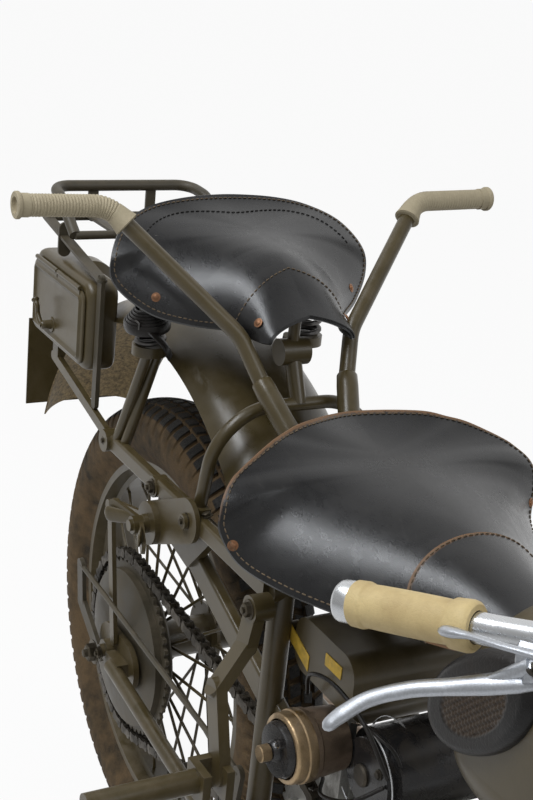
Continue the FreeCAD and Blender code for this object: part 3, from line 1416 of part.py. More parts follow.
pipe = bent_tube([vec(d.exhaust_x, d.head_half + d.lid_gap, d.barrel_z), vec(d.exhaust_x, d.exhaust_y, d.barrel_z),
                  vec(d.exhaust_x - 50, d.exhaust_y, d.exhaust_low_z),
                  vec(d.silencer_front_x - 5, d.exhaust_y, d.exhaust_low_z)],
                 d.exhaust_radius, d.exhaust_bend)
muffler_outline = [vec(d.silencer_front_x, d.exhaust_y, d.exhaust_low_z),
                   vec(d.silencer_front_x, d.exhaust_y, d.exhaust_low_z + d.exhaust_radius),
                   vec(d.silencer_front_x - d.silencer_cone, d.exhaust_y, d.exhaust_low_z + d.silencer_radius),
                   vec(d.silencer_rear_x + d.silencer_cone, d.exhaust_y, d.exhaust_low_z + d.silencer_radius),
                   vec(d.silencer_rear_x, d.exhaust_y, d.exhaust_low_z + d.exhaust_radius),
                   vec(d.silencer_rear_x - 50, d.exhaust_y, d.exhaust_low_z + d.exhaust_radius),
                   vec(d.silencer_rear_x - 50, d.exhaust_y, d.exhaust_low_z)]
muffler = turned(muffler_outline, vec(0, d.exhaust_y, d.exhaust_low_z), Vector(1, 0, 0))
feature("exhaust", joined([pipe, muffler]))

# Footrest rubbers, pillion hangers and pegs, stand

rest_x = d.footrest_x
feature("footrest_rubbers", Part.makeCompound([
    across(rest_x, d.footrest_high_z, d.footrest_rubber_radius, side * (d.footrest_rise_y + 24),
           side * d.footrest_reach).cut(across(rest_x, d.footrest_high_z, d.footrest_tube_radius + d.lid_gap,
                                               side * d.footrest_rise_y, side * (d.footrest_reach + 5)))
    for side in (1, -1)]))


def hanger():
    top = vec(d.hanger_top_x, 0 - d.hanger_top_y, d.hanger_top_z)
    low = vec(d.hanger_low_x, 0 - d.hanger_low_y, d.hanger_low_z)
    knee_high = vec(d.hanger_top_x + 2, 0 - d.hanger_top_y - 8, 600)
    knee_low = vec(452, 0 - d.hanger_low_y, 560)
    run = [top, knee_high, knee_low, low]
    pieces = [flat_link(a, b, d.hanger_width, d.hanger_wall, Vector(0, 1, 0)) for a, b in zip(run, run[1:])]
    clevis = [block(d.hanger_low_x - 20, d.hanger_low_x + 20, y, y + 9,
                    d.hanger_low_z - 22, d.hanger_low_z + 16)
              for y in (0 - d.hanger_low_y - 30, 0 - d.hanger_low_y - 3)]
    bridge = block(d.hanger_low_x - 20, d.hanger_low_x - 11, 0 - d.hanger_low_y - 30, 0 - d.hanger_low_y + 6,
                   d.hanger_low_z - 22, d.hanger_low_z + 16)
    boss = across(d.hanger_top_x, d.hanger_top_z, 15, 0 - d.hanger_top_y - 8, 0 - d.rail_y - 7)
    peg = across(d.hanger_low_x, d.hanger_low_z, d.peg_radius, 0 - d.peg_reach, 0 - d.hanger_low_y - 30)
    return joined(pieces + clevis + [bridge, boss, peg])


feature("pillion_hangers", Part.makeCompound(both_sides(hanger())))


def stand_side():
    eye_in = 0 - d.stand_eye_y - d.stand_eye_wall / 2
    eye = across(d.stand_pivot_x, d.stand_pivot_z, d.stand_eye_radius, eye_in, eye_in + d.stand_eye_wall)
    foot_z = d.stand_pad_radius - d.rear_lift
    leg = bent_tube([vec(d.stand_pivot_x, 0 - d.stand_eye_y, d.stand_pivot_z - 2),
                     vec(d.stand_pivot_x + 16, 0 - d.stand_eye_y - 4, d.stand_bar_z),
                     vec(d.stand_foot_x, 0 - d.stand_foot_y, foot_z)], d.stand_leg_radius, 60)
    foot = rod(vec(d.stand_foot_x - d.stand_pad_half, 0 - d.stand_foot_y, foot_z),
               vec(d.stand_foot_x + d.stand_pad_half, 0 - d.stand_foot_y, foot_z), d.stand_pad_radius)
    return [eye, leg, foot]


stand_bar = across(d.stand_pivot_x + 16, d.stand_bar_z, d.stand_leg_radius - 2, 0 - d.stand_eye_y - 3,
                   d.stand_eye_y + 3)
stand_pieces = joined(stand_side() + [mirrored(piece) for piece in stand_side()] + [stand_bar])
stand_bore = across(d.stand_pivot_x, d.stand_pivot_z, d.stand_pin_radius + d.axle_clearance,
                    0 - d.stand_foot_y, d.stand_foot_y)
feature("centre_stand", stand_pieces.cut(stand_bore))

# Front fork: stem, yokes, girder legs, axle

axle_point = vec(d.wheelbase, 0, front_axle_z)
axis_at_axle = steering_point(front_axle_z)
girder_lead = float(axle_point.x - axis_at_axle.x) * math.cos(head_lean)


def leg_point(along, y):
    return axle_point + steering_up * float(along) + vec(0, y, 0)


def axis_point(along):
    """The point on the steering axis level with a point on the girder legs."""
    forward = Vector(math.cos(head_lean), 0, math.sin(head_lean))
    return axle_point + steering_up * float(along) - forward * girder_lead


fork_pieces = [rod(axis_point(d.low_link_along) - steering_up * 12,
                   axis_point(d.high_link_along) + steering_up * 14, d.stem_radius)]
for along in (d.low_link_along, d.high_link_along):
    crown = axis_point(along)
    ahead = leg_point(along, 0)
    fork_pieces.append(flat_link(crown, ahead, 2 * d.link_radius + 34, 16, steering_up))
    fork_pieces.append(rod(ahead + vec(0, 0 - d.girder_half, 0), ahead + vec(0, d.girder_half, 0),
                           d.link_radius))
for side in (1, -1):
    fork_pieces.append(rod(leg_point(-6, side * d.girder_half), leg_point(d.girder_length, side * d.girder_half),
                           d.girder_radius))
    fork_pieces.append(across(d.wheelbase, front_axle_z, 15, side * (d.hub_half + d.hub_side_gap),
                              side * d.girder_half))
fork_pieces.append(across(d.wheelbase, front_axle_z, d.axle_radius, 0 - d.girder_half - 28, d.girder_half + 28))
lamp_arm_y = d.headlamp_radius + 3
for side in (1, -1):
    fork_pieces.append(flat_link(vec(d.lamp_arm_x, side * lamp_arm_y, d.headlamp_z),
                                 vec(d.lamp_rear_x + 90, side * lamp_arm_y, d.headlamp_z), 16, 5,
                                 Vector(0, 1, 0)))
fork_shape = joined(fork_pieces)
feature("front_fork", fork_shape)
spring_low = leg_point(d.low_link_along + d.link_radius + d.lid_gap, 0)
spring_high = leg_point(d.high_link_along - d.link_radius - d.lid_gap, 0)
spring_run = (spring_high - spring_low).Length
spring = coil(0, 0, 0, spring_run, d.fork_spring_radius, d.fork_spring_wire)
spring.Placement = FreeCAD.Placement(spring_low, FreeCAD.Rotation(Vector(0, 1, 0), -float(d.head_angle)))
feature("fork_spring", spring)

# Front brake drum, carried by the hub

front_drum = revolved_body("front_drum", [
    (d.front_drum_inner, d.hub_radius + d.lid_gap), (d.front_drum_inner, d.front_drum_radius),
    (d.front_drum_outer - 5, d.front_drum_radius), (d.front_drum_outer - 5, d.hub_radius + d.lid_gap)])
place(front_drum, d.wheelbase, 0, front_axle_z)
node(front_drum, "front_drum")

# Handlebar, grips, levers and headlamp


def bar_half(side):
    return [vec(1098, side * 62, 903), vec(1040, side * 190, 925), vec(930, side * 230.5, 893.5),
            vec(822, side * 277.5, 868)]


bar_path = list(reversed(bar_half(-1))) + bar_half(1)
bar = bent_tube(bar_path, d.bar_radius, d.bar_bend)
yoke_top = axis_point(d.high_link_along)
risers = [rod(yoke_top + vec(0, side * 22, 6), vec(1098, side * 22, 903), d.bar_radius) for side in (1, -1)]
feature("handlebar", joined([bar] + risers).cut(fork_shape))


def bar_grip(side):
    outer = vec(824, side * 277, 868.5)
    inner = outer + (vec(930, side * 230.5, 893.5) - outer) * 0.84
    run = (outer - inner).normalize()
    sleeve = rod(inner, outer, d.grip_radius)
    cap = rod(outer - run * 2, outer + run * 12, d.grip_cap_radius)
    return joined([sleeve, cap]).cut(rod(inner - run, outer + run * 4, d.bar_radius + d.lid_gap))


feature("bar_grips", Part.makeCompound([bar_grip(-1), bar_grip(1)]))


def bar_lever(side):
    perch = vec(962, side * 221, 890)
    root = vec(958, side * 236, 872)
    mid = vec(905, side * 298, 858)
    tip = vec(850, side * 332, 838)
    lever = bent_tube([root, mid, tip], d.lever_radius, 80)
    ball = Part.makeSphere(float(d.lever_ball_radius), tip)
    arm_piece = rod(perch, root, 6)
    band = rod(perch - vec(9, side * -4, -2), perch + vec(9, side * -4, -2), 16)
    return joined([lever, ball, arm_piece, band])


feature("bar_levers", Part.makeCompound([bar_lever(-1).cut(bar), bar_lever(1).cut(bar)]))
lamp_shell = revolved_body("headlamp", [
    (0, 0), (0, 26), Mid(30, 66), (70, d.headlamp_radius - 6), (84, d.headlamp_radius),
    (96, d.headlamp_radius), (100, d.headlamp_radius - d.headlamp_rim), Mid(112, 45), (116, 0)])
place(lamp_shell, d.lamp_rear_x, 0, d.headlamp_z)
lamp_shell.Placement = FreeCAD.Placement(lamp_shell.Placement.Base, FreeCAD.Rotation(Vector(0, 0, 1), -90))
node(lamp_shell, "headlamp")

# Brake arm, rod and strap on the right side

arm_low = vec(-22, -109, 322)
arm_mid = vec(-92, -112, 372)
arm_high = vec(-86, -118, 432)
brake_arm = joined([flat_link(arm_low, arm_mid, d.brake_arm_width, d.brake_arm_wall, Vector(0, 1, 0)),
                    flat_link(arm_mid, arm_high, d.brake_arm_width, d.brake_arm_wall, Vector(0, 1, 0))])
cam_boss = across(-22, 322, 9, -108, 0 - d.axle_plate_y - d.axle_plate_wall / 2 - d.lid_gap)
brake_rod = rod(arm_high, vec(440, -134, 436), d.brake_rod_radius)
pedal_arm = flat_link(vec(440, -134, 436), vec(430, -134, 372), 18, 6, Vector(0, 1, 0))
pedal_shaft = across(430, 372, 9, -140, 0 - d.cradle_half - d.main_tube_radius - d.lid_gap)
pedal = bent_tube([vec(430, -140, 372), vec(560, -150, 340), vec(668, -168, 290)], 8, 60)
pedal_pad = block(650, 706, -195, -150, 284, 296)
feature("brake_linkage", joined([brake_arm, cam_boss, brake_rod, pedal_arm, pedal_shaft, pedal, pedal_pad]))

# Front mudguard stays from the guard's edges to the axle

stay_pieces = []
for side in (1, -1):
    eye_y = side * (d.girder_half + d.girder_radius + 6)
    edge_y = side * (d.front_guard_half + d.guard_wall + 3 + d.lid_gap)
    ring = across(d.wheelbase, front_axle_z, 14, eye_y - 3, eye_y + 3)
    for degrees in (32, 100, 172):
        angle = math.radians(degrees)
        far = float(d.front_guard_edge_radius) + 2
        stay_pieces.append(bent_tube([
            vec(d.wheelbase + 9 * math.cos(angle), eye_y, front_axle_z + 9 * math.sin(angle)),
            vec(d.wheelbase + 120 * math.cos(angle), eye_y, front_axle_z + 120 * math.sin(angle)),
            vec(d.wheelbase + far * math.cos(angle), edge_y, front_axle_z + far * math.sin(angle))],
            3, 40))
    stay_pieces.append(ring)
stay_bore = across(d.wheelbase, front_axle_z, d.axle_radius + d.lid_gap, -130, 130)
stays = doc.addObject("Part::Feature", "guard_stays")
stays.Shape = joined(stay_pieces).cut(stay_bore)
place(stays)
guard_and_stays = doc.addObject("Part::Compound", "guard_and_stays")
guard_and_stays.Links = [front_guard, stays]
node(guard_and_stays, "front_mudguard")

# Checks of the model, then one file for each sub-part
doc.recompute()
for item in doc.Objects:
    if "Invalid" in item.State or "Error" in item.State:
        raise RuntimeError(item.Label + " failed: " + str(item.State))
os.makedirs("parts", exist_ok=True)
for item in nodes:
    if item.Shape.isNull() or not item.Shape.isValid():
        raise RuntimeError(item.Label + " has no valid shape")
    item.Shape.exportStep("parts/" + item.Label + ".step")
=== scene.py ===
"""Dresses an army motorcycle with leather saddles: shapes, finishes, light and camera."""

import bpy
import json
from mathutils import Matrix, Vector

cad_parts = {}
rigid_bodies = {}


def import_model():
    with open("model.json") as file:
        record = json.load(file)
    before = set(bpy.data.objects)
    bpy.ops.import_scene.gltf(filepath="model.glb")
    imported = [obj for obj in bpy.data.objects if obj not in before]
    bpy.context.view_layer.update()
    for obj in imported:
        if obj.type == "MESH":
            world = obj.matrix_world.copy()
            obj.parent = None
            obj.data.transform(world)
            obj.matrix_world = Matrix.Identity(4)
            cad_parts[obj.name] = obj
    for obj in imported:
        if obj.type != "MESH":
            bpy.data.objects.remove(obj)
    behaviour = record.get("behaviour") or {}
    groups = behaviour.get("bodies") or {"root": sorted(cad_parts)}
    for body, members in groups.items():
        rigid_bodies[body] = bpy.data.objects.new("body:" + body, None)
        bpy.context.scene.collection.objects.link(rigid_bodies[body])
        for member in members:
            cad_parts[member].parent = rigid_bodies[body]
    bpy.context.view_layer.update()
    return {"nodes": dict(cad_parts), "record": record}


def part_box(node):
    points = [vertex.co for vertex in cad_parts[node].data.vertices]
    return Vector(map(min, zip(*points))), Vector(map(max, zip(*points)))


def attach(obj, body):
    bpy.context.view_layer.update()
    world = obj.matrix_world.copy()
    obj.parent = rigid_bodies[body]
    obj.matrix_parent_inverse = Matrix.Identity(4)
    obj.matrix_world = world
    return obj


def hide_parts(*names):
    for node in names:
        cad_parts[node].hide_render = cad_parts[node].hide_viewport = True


bl_info = {
    "name": "Army Motorcycle",
    "version": (1, 0, 0),
    "blender": (4, 5, 0),
    "location": "3D View > Sidebar > Motorcycle",
    "description": "Adds the saddles, tyres, small fittings and finishes of an army motorcycle",
    "category": "Add Mesh",
}

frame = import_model()

import json
import math

import bmesh
import bpy
import numpy as np
from mathutils import Matrix, Vector

TAU = 2 * math.pi

# Sizes below are in millimetres from the rear axle, and from the ground under a wheel; this is
# where that point stands in the frame, in metres
REAR_AXLE_X = -0.6778
REAR_LIFT = 0.012


# ---- Shader expressions


class Value:
    """One output of a shader node, with the usual operators for numbers."""

    def __init__(self, nodes, socket):
        self.nodes = nodes
        self.socket = socket

    def __add__(self, other):
        return self.nodes.maths("ADD", self, other)

    def __sub__(self, other):
        return self.nodes.maths("SUBTRACT", self, other)

    def __rsub__(self, other):
        return self.nodes.maths("SUBTRACT", other, self)

    def __mul__(self, other):
        return self.nodes.maths("MULTIPLY", self, other)


class Nodes:
    """A node tree that grows one expression at a time."""

    def __init__(self, tree):
        self.tree = tree

    def node(self, kind, settings=None, inputs=None, output=0):
        """Adds a node: its settings first, then the values or links of its sockets."""
        made = self.tree.nodes.new(kind)
        for key, setting in (settings or {}).items():
            setattr(made, key, setting)
        for key, given in (inputs or {}).items():
            self.join(made.inputs[key], given)
        return Value(self, made.outputs[output])

    def join(self, socket, given):
        """Gives a socket a link, a colour without its alpha, or a plain value."""
        if isinstance(given, Value):
            self.tree.links.new(given.socket, socket)
        elif socket.type == "RGBA":
            socket.default_value = (*given, 1)
        else:
            socket.default_value = given

    def maths(self, operation, first, second):
        return self.node("ShaderNodeMath", {"operation": operation}, {0: first, 1: second})

    def place(self):
        return self.node("ShaderNodeTexCoord", output="Object")

    def normal(self):
        return self.node("ShaderNodeNewGeometry", output="Normal")

    def wear(self):
        """The attribute that marks rubbed or dusty places on the meshes that carry it."""
        return self.node("ShaderNodeAttribute", {"attribute_name": "wear"}, output="Fac")

    def split(self, vector):
        parts = self.node("ShaderNodeSeparateXYZ", None, {0: vector}).socket.node
        return [Value(self, part) for part in parts.outputs]

    def noise(self, scale, detail, rough=0.5, warp=0.0, stretch=None):
        vector = self.place()
        if stretch:
            vector = self.node("ShaderNodeMapping", None, {"Vector": vector, "Scale": stretch})
        return self.node("ShaderNodeTexNoise", None, {
            "Vector": vector, "Scale": scale, "Detail": detail, "Roughness": rough, "Distortion": warp})

    def cells(self, scale, feature="F1"):
        return self.node("ShaderNodeTexVoronoi", {"feature": feature}, {
            "Vector": self.place(), "Scale": scale})

    def ramp(self, value, low, high):
        """0 below low, 1 above high, and straight between them."""
        return self.node("ShaderNodeMapRange", None, {"Value": value, "From Min": low, "From Max": high})

    def blend(self, mask, first, second):
        """The first colour where the mask is 0 and the second where it is 1."""
        return self.node("ShaderNodeMix", {"data_type": "RGBA"}, {0: mask, 6: first, 7: second}, output=2)

    def dot(self, first, second):
        return self.node("ShaderNodeVectorMath", {"operation": "DOT_PRODUCT"}, {0: first, 1: second}, "Value")

    def edges(self, reach):
        """1 where the surface turns sharply within a distance, 0 on flat ground."""
        bevel = self.node("ShaderNodeBevel", {"samples": 4}, {"Radius": reach})
        return self.ramp(1 - self.dot(bevel, self.normal()), 0.02, 0.22)

    def relief(self, height, strength, distance):
        return self.node("ShaderNodeBump", None, {
            "Height": height, "Strength": strength, "Distance": distance})


class Shader(Nodes):
    """A material, listed among the finishes once its surface is set."""

    def __init__(self, name):
        self.name = name
        self.material = bpy.data.materials.new(name)
        self.material.use_nodes = True
        super().__init__(self.material.node_tree)

    def finish(self, **sockets):
        """Sets the surface's sockets, such as base_color or roughness."""
        surface = self.tree.nodes["Principled BSDF"]
        for key, given in sockets.items():
            self.join(surface.inputs[key.replace("_", " ").title().replace("Ior", "IOR")], given)
        finishes[self.name] = self.material


def times(colour, factor):
    """A colour made darker or lighter."""
    return tuple(part * factor for part in colour)


# ---- Finishes

OLIVE = (0.056, 0.041, 0.0145)
BARE_OLIVE = (0.16, 0.14, 0.11)
ROAD_DUST = (0.16, 0.125, 0.08)
finishes = {}


def paint(name, colour, worn, rough=0.33, dust=0.5, wear=0.5, mud=None):
    """Brushed-on army paint: soft brush marks, dust low down and on upward faces, and rubbed edges.

    With a place for mud given, the side that faces that place is caked: its normal points
    against the way from there.
    """
    s = Shader(name)
    fine = s.noise(900, 2)
    broad = s.noise(7, 4, rough=0.6)
    stain = s.noise(38, 5, rough=0.65, warp=0.6)
    chips = s.ramp(s.cells(420), 0.12, 0.02) * s.ramp(s.noise(55, 3), 0.6, 0.72)
    rubbed = s.edges(0.0016) * s.ramp(stain, 0.42, 0.66) * wear
    low = s.ramp(s.split(s.place())[2], 0.75, 0.1)
    upward = s.ramp(s.split(s.normal())[2], 0.3, 1.0)
    grime = s.ramp(stain + broad * 0.5, 0.62, 0.95) * (low * 0.5 + upward * 0.3 + 0.2) * dust
    tone = s.blend(s.ramp(broad, 0.3, 0.7), times(colour, 0.82), times(colour, 1.14))
    tone = s.blend(s.ramp(fine, 0.35, 0.65) * 0.25, tone, times(colour, 1.5))
    tone = s.blend(grime, tone, ROAD_DUST)
    tone = s.blend(s.maths("MAXIMUM", rubbed, chips * wear), tone, worn)
    height = stain + fine * 0.25
    if mud:
        way = s.split(s.node("ShaderNodeVectorMath", {"operation": "SUBTRACT"}, {0: s.place(), 1: mud}))
        turns = s.split(s.normal())
        inward = s.ramp(0 - (way[0] * turns[0] + way[2] * turns[2]), 0.02, 0.2)
        lumps = s.noise(160, 6, rough=0.75)
        caked = inward * s.ramp(lumps + broad * 0.6, 0.4, 0.62)
        clay = s.blend(s.ramp(lumps, 0.32, 0.62), (0.06, 0.04, 0.018), (0.36, 0.26, 0.12))
        tone = s.blend(caked, tone, clay)
        height = height + caked * lumps * 6
        grime = grime + caked
    s.finish(base_color=tone, roughness=s.ramp(grime + stain * 0.5, 0.0, 1.3) * 0.4 + (rough - 0.08),
             specular_ior_level=0.48, normal=s.relief(height, 0.25, 0.0006))


def bare_metal(name, colour, rough, grime, grime_colour=(0.04, 0.03, 0.02), pitted=0.3):
    """Steel, aluminium or brass that shows its metal, with oil and dirt over it."""
    s = Shader(name)
    stain = s.noise(26, 5, rough=0.62, warp=0.8)
    pits = s.noise(700, 3)
    dirt = s.ramp(stain, 0.62 - grime * 0.3, 0.78)
    tone = s.blend(s.ramp(pits, 0.3, 0.7), times(colour, 0.8), colour)
    tone = s.blend(dirt * min(1.0, grime * 1.6), tone, grime_colour)
    s.finish(base_color=tone, metallic=1 - dirt * min(0.9, grime * 1.3),
             roughness=s.ramp(stain + dirt, 0.3, 1.6) * 0.45 + rough,
             normal=s.relief(pits + stain, pitted, 0.0004))


def chrome_plate(name):
    """Bright plating with fine wipe marks and a little haze."""
    s = Shader(name)
    haze = s.noise(30, 4, rough=0.6)
    lines = s.noise(260, 3, stretch=(0.4, 3.0, 3.0))
    s.finish(base_color=s.blend(s.ramp(haze, 0.5, 0.75) * 0.5, (0.58, 0.59, 0.6), (0.42, 0.42, 0.41)),
             metallic=1.0, roughness=s.ramp(haze * 0.6 + lines * 0.5, 0.3, 0.9) * 0.18 + 0.2,
             normal=s.relief(lines, 0.02, 0.0002))


def saddle_leather(name):
    """Black polished hide: grain cells, creases, scuffs and brown worn rims."""
    s = Shader(name)
    grain = s.cells(620, "DISTANCE_TO_EDGE")
    fine = s.noise(1600, 2)
    crease = s.noise(24, 5, rough=0.55, warp=1.4)
    wrinkle = s.noise(70, 3, warp=0.9, stretch=(1.0, 0.35, 1.0))
    scuff = s.noise(130, 5, rough=0.7, stretch=(0.5, 1.6, 1.0))
    worn = s.ramp(s.wear() + (scuff - 0.5) * 0.6, 0.55, 0.85)
    tone = s.blend(s.ramp(crease, 0.4, 0.7) * 0.6, (0.004, 0.004, 0.0045), (0.011, 0.0105, 0.01))
    tone = s.blend(s.ramp(scuff, 0.6, 0.72) * 0.25, tone, (0.045, 0.04, 0.036))
    tone = s.blend(worn, tone, (0.15, 0.078, 0.034))
    polish = s.ramp(scuff * 0.6 + crease * 0.6, 0.3, 0.9) * 0.16
    height = s.ramp(grain, 0.0, 0.22) * 0.35 + fine * 0.15 + wrinkle * 0.8 + crease * 0.7
    s.finish(base_color=tone, roughness=polish + 0.21 + worn * 0.3, specular_ior_level=0.5,
             normal=s.relief(height, 0.14, 0.0008))


def tyre_rubber(name):
    """Black blocks on top; brown road dust on the side walls and in the grooves."""
    s = Shader(name)
    worn = s.wear()
    broad = s.noise(11, 6, rough=0.7)
    fine = s.noise(420, 4, rough=0.7)
    streak = s.noise(60, 4, rough=0.6, stretch=(1.0, 0.3, 1.0))
    clean = s.ramp(worn + (broad - 0.5) * 0.9, 0.45, 0.8)
    dust = s.blend(s.ramp(broad + streak * 0.5, 0.55, 0.85), (0.022, 0.017, 0.011), (0.13, 0.084, 0.042))
    dust = s.blend(s.ramp(fine, 0.35, 0.7) * 0.5, dust, (0.07, 0.053, 0.032))
    black = s.blend(s.ramp(fine, 0.4, 0.7), (0.009, 0.0085, 0.008), (0.03, 0.027, 0.023))
    s.finish(base_color=s.blend(clean, dust, black), roughness=0.86 - clean * 0.25,
             specular_ior_level=0.25, normal=s.relief(fine + streak * 0.8, 0.7, 0.0014))


def rubber(name, colour, dust_colour, rough, dust, scale=1.0):
    """Old rubber with dust settled in it."""
    s = Shader(name)
    broad = s.noise(18 * scale, 5, rough=0.65)
    fine = s.noise(520 * scale, 3)
    cracks = s.cells(190 * scale, "DISTANCE_TO_EDGE")
    dusty = s.maths("MAXIMUM", s.ramp(broad + fine * 0.3, 0.45, 0.95) * dust, s.wear() * 0.75)
    tone = s.blend(s.ramp(fine, 0.3, 0.7) * 0.4, colour, times(colour, 1.5))
    s.finish(base_color=s.blend(dusty, tone, dust_colour),
             roughness=s.ramp(broad, 0.2, 0.8) * 0.18 + rough - 0.09, specular_ior_level=0.28,
             normal=s.relief(fine + s.ramp(cracks, 0.0, 0.08) * 0.6, 0.3, 0.0006))


def plain(name, colour, rough, scale, **more):
    """A small fitting's finish with a faint grain."""
    s = Shader(name)
    fine = s.noise(scale, 3)
    s.finish(base_color=s.blend(s.ramp(fine, 0.3, 0.7), times(colour, 0.75), times(colour, 1.2)),
             roughness=s.ramp(fine, 0.2, 0.8) * 0.15 + rough - 0.07, metallic=0.0,
             normal=s.relief(fine, 0.15, 0.0003), **more)


def make_finishes():
    """All the finishes, by the names of the record's material slots or of the fitting."""
    paint("olive_paint", OLIVE, BARE_OLIVE)
    paint("dark_paint", (0.045, 0.037, 0.022), (0.13, 0.1, 0.075), rough=0.5, wear=0.7)
    paint("black_metal", (0.010, 0.010, 0.011), (0.1, 0.09, 0.08), rough=0.26, dust=0.25, wear=0.35)
    paint("guard_paint", OLIVE, BARE_OLIVE, rough=0.3, mud=(REAR_AXLE_X, 0, 0.424))
    tyre_rubber("tyre_rubber")
    bare_metal("chain_steel", (0.1, 0.085, 0.065), 0.34, 0.85, (0.012, 0.01, 0.008))
    bare_metal("cast_case", (0.5, 0.49, 0.46), 0.42, 0.55, pitted=0.6)
    paint("iron", (0.028, 0.025, 0.022), (0.1, 0.08, 0.06), rough=0.6, wear=0.4)
    saddle_leather("leather")
    bare_metal("spring_steel", (0.12, 0.115, 0.11), 0.36, 0.5)
    rubber("cream_rubber", (0.56, 0.44, 0.22), (0.3, 0.2, 0.09), 0.55, 0.75, scale=1.4)
    rubber("grey_rubber", (0.36, 0.31, 0.21), (0.2, 0.165, 0.11), 0.62, 0.5)
    rubber("black_rubber", (0.006, 0.0055, 0.005), (0.05, 0.033, 0.02), 0.34, 0.15)
    chrome_plate("chrome")
    bare_metal("brass", (0.46, 0.33, 0.19), 0.3, 0.6, pitted=0.5)
    bare_metal("exhaust_steel", (0.24, 0.18, 0.13), 0.4, 0.5, (0.07, 0.04, 0.022))
    bare_metal("cast_aluminium", (0.5, 0.52, 0.55), 0.3, 0.2, pitted=0.2)
    bare_metal("dark_steel", (0.1, 0.085, 0.06), 0.4, 0.6, (0.05, 0.035, 0.02))
    plain("thread", (0.12, 0.085, 0.05), 0.8, 900)
    bare_metal("copper", (0.3, 0.15, 0.08), 0.38, 0.5)
    plain("yellow_label", (0.62, 0.40, 0.045), 0.5, 120)
    plain("lens", (0.75, 0.77, 0.78), 0.08, 60, coat_weight=1.0)
    plain("red_lens", (0.33, 0.012, 0.01), 0.12, 60, coat_weight=1.0)


# ---- Mesh building

WELD = 0.000002
SHARP_EDGE = math.radians(38)


def placed(name, data):
    """A new object in the scene."""
    made = bpy.data.objects.new(name, data)
    bpy.context.scene.collection.objects.link(made)
    return made


class Shape:
    """Collects grids of points, in millimetres from the rear axle, into one mesh."""

    def __init__(self):
        self.points = []
        self.faces = []
        self.count = 0

    def grid(self, points, around=False, along=False, caps=False):
        """Adds a surface whose rows and columns are joined by four-sided faces.

        around closes each row on itself, along closes the last row to the first, and caps
        fills the first and the last row.
        """
        rows, columns = points.shape[:2]
        index = self.count + np.arange(rows * columns).reshape(rows, columns)
        if around:
            index = np.hstack([index, index[:, :1]])
        if along:
            index = np.vstack([index, index[:1]])
        quads = np.stack([index[:-1, :-1], index[1:, :-1], index[1:, 1:], index[:-1, 1:]], axis=-1)
        self.faces += quads.reshape(-1, 4).tolist()
        if caps:
            self.faces.append(index[0, :columns].tolist())
            self.faces.append(index[-1, :columns][::-1].tolist())
        self.points.append(points.reshape(-1, 3))
        self.count += rows * columns
        return self

    def bar(self, path, radius, sides=12, flat=1.0):
        """Adds a round or flattened bar with closed ends along a line."""
        return self.grid(swept(path, radius, sides, flat), around=True, caps=True)

    def ring(self, path, radius, sides, flat=1.0):
        """Adds a bar along a line that closes on itself."""
        return self.grid(swept(path, radius, sides, flat, closed=True), around=True, along=True)

    def turn(self, start, direction, outline, sides=32):
        """Adds a surface of revolution: each pair is a distance along its axis and a radius."""
        start, ahead = np.asarray(start, float), unit(np.asarray(direction, float))
        outline = np.asarray(outline, float)
        round_it = circle(np.linspace(0, TAU, sides + 1), *crossways(ahead))
        return self.grid(start + outline[:, 0, None, None] * ahead + outline[:, 1, None, None] * round_it)

    def sheet(self, rings):
        """Adds a closed body from outlines laid one after another."""
        return self.grid(np.array(rings, float), around=True, caps=True)

    def object(self, name, finish, body, slot, smooth=True, weld=WELD, attribute=None):
        """Makes the Blender object, with its faces outward, riding on a body."""
        points = np.concatenate(self.points) / 1000 + [REAR_AXLE_X, 0, REAR_LIFT]
        mesh = bpy.data.meshes.new(name)
        mesh.from_pydata(points.tolist(), [], self.faces)
        if attribute is not None:
            layer = mesh.attributes.new("wear", "FLOAT", "POINT")
            layer.data.foreach_set("value", np.ascontiguousarray(attribute, dtype=np.float32))
        work = bmesh.new()
        work.from_mesh(mesh)
        bmesh.ops.remove_doubles(work, verts=work.verts, dist=weld)
        bmesh.ops.dissolve_degenerate(work, edges=work.edges, dist=weld)
        bmesh.ops.recalc_face_normals(work, faces=work.faces)
        work.to_mesh(mesh)
        work.free()
        mesh.polygons.foreach_set("use_smooth", [smooth] * len(mesh.polygons))
        if smooth:
            mesh.set_sharp_from_angle(angle=SHARP_EDGE)
        mesh.materials.append(finishes[finish])
        made = placed(name, mesh)
        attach(made, body)
        return made


def unit(vectors):
    """Vectors at length one."""
    return vectors / np.maximum(np.linalg.norm(vectors, axis=-1, keepdims=True), 1e-9)


def crossways(ahead):
    """Two directions across one: the first is level, unless that one is steep."""
    guide = np.array([0, 0, 1.0]) if abs(ahead[2]) < 0.8 else np.array([1.0, 0, 0])
    across = unit(np.cross(ahead, guide))
    return across, np.cross(ahead, across)


def circle(angles, across, over):
    """Points at a distance of one, at some angles from the first direction to the second."""
    return np.cos(angles)[:, None] * across + np.sin(angles)[:, None] * over


def travelled(points):
    """The distance along a line at each of its points."""
    return np.concatenate([[0], np.cumsum(np.linalg.norm(np.diff(points, axis=0), axis=1))])


def read_off(places, reach, points):
    """The points at some distances along a line."""
    return np.stack([np.interp(places, reach, column) for column in points.T], axis=-1)


def even(points, count):
    """The same line with its points evenly spaced."""
    reach = travelled(points)
    return read_off(np.linspace(0, reach[-1], count), reach, points)


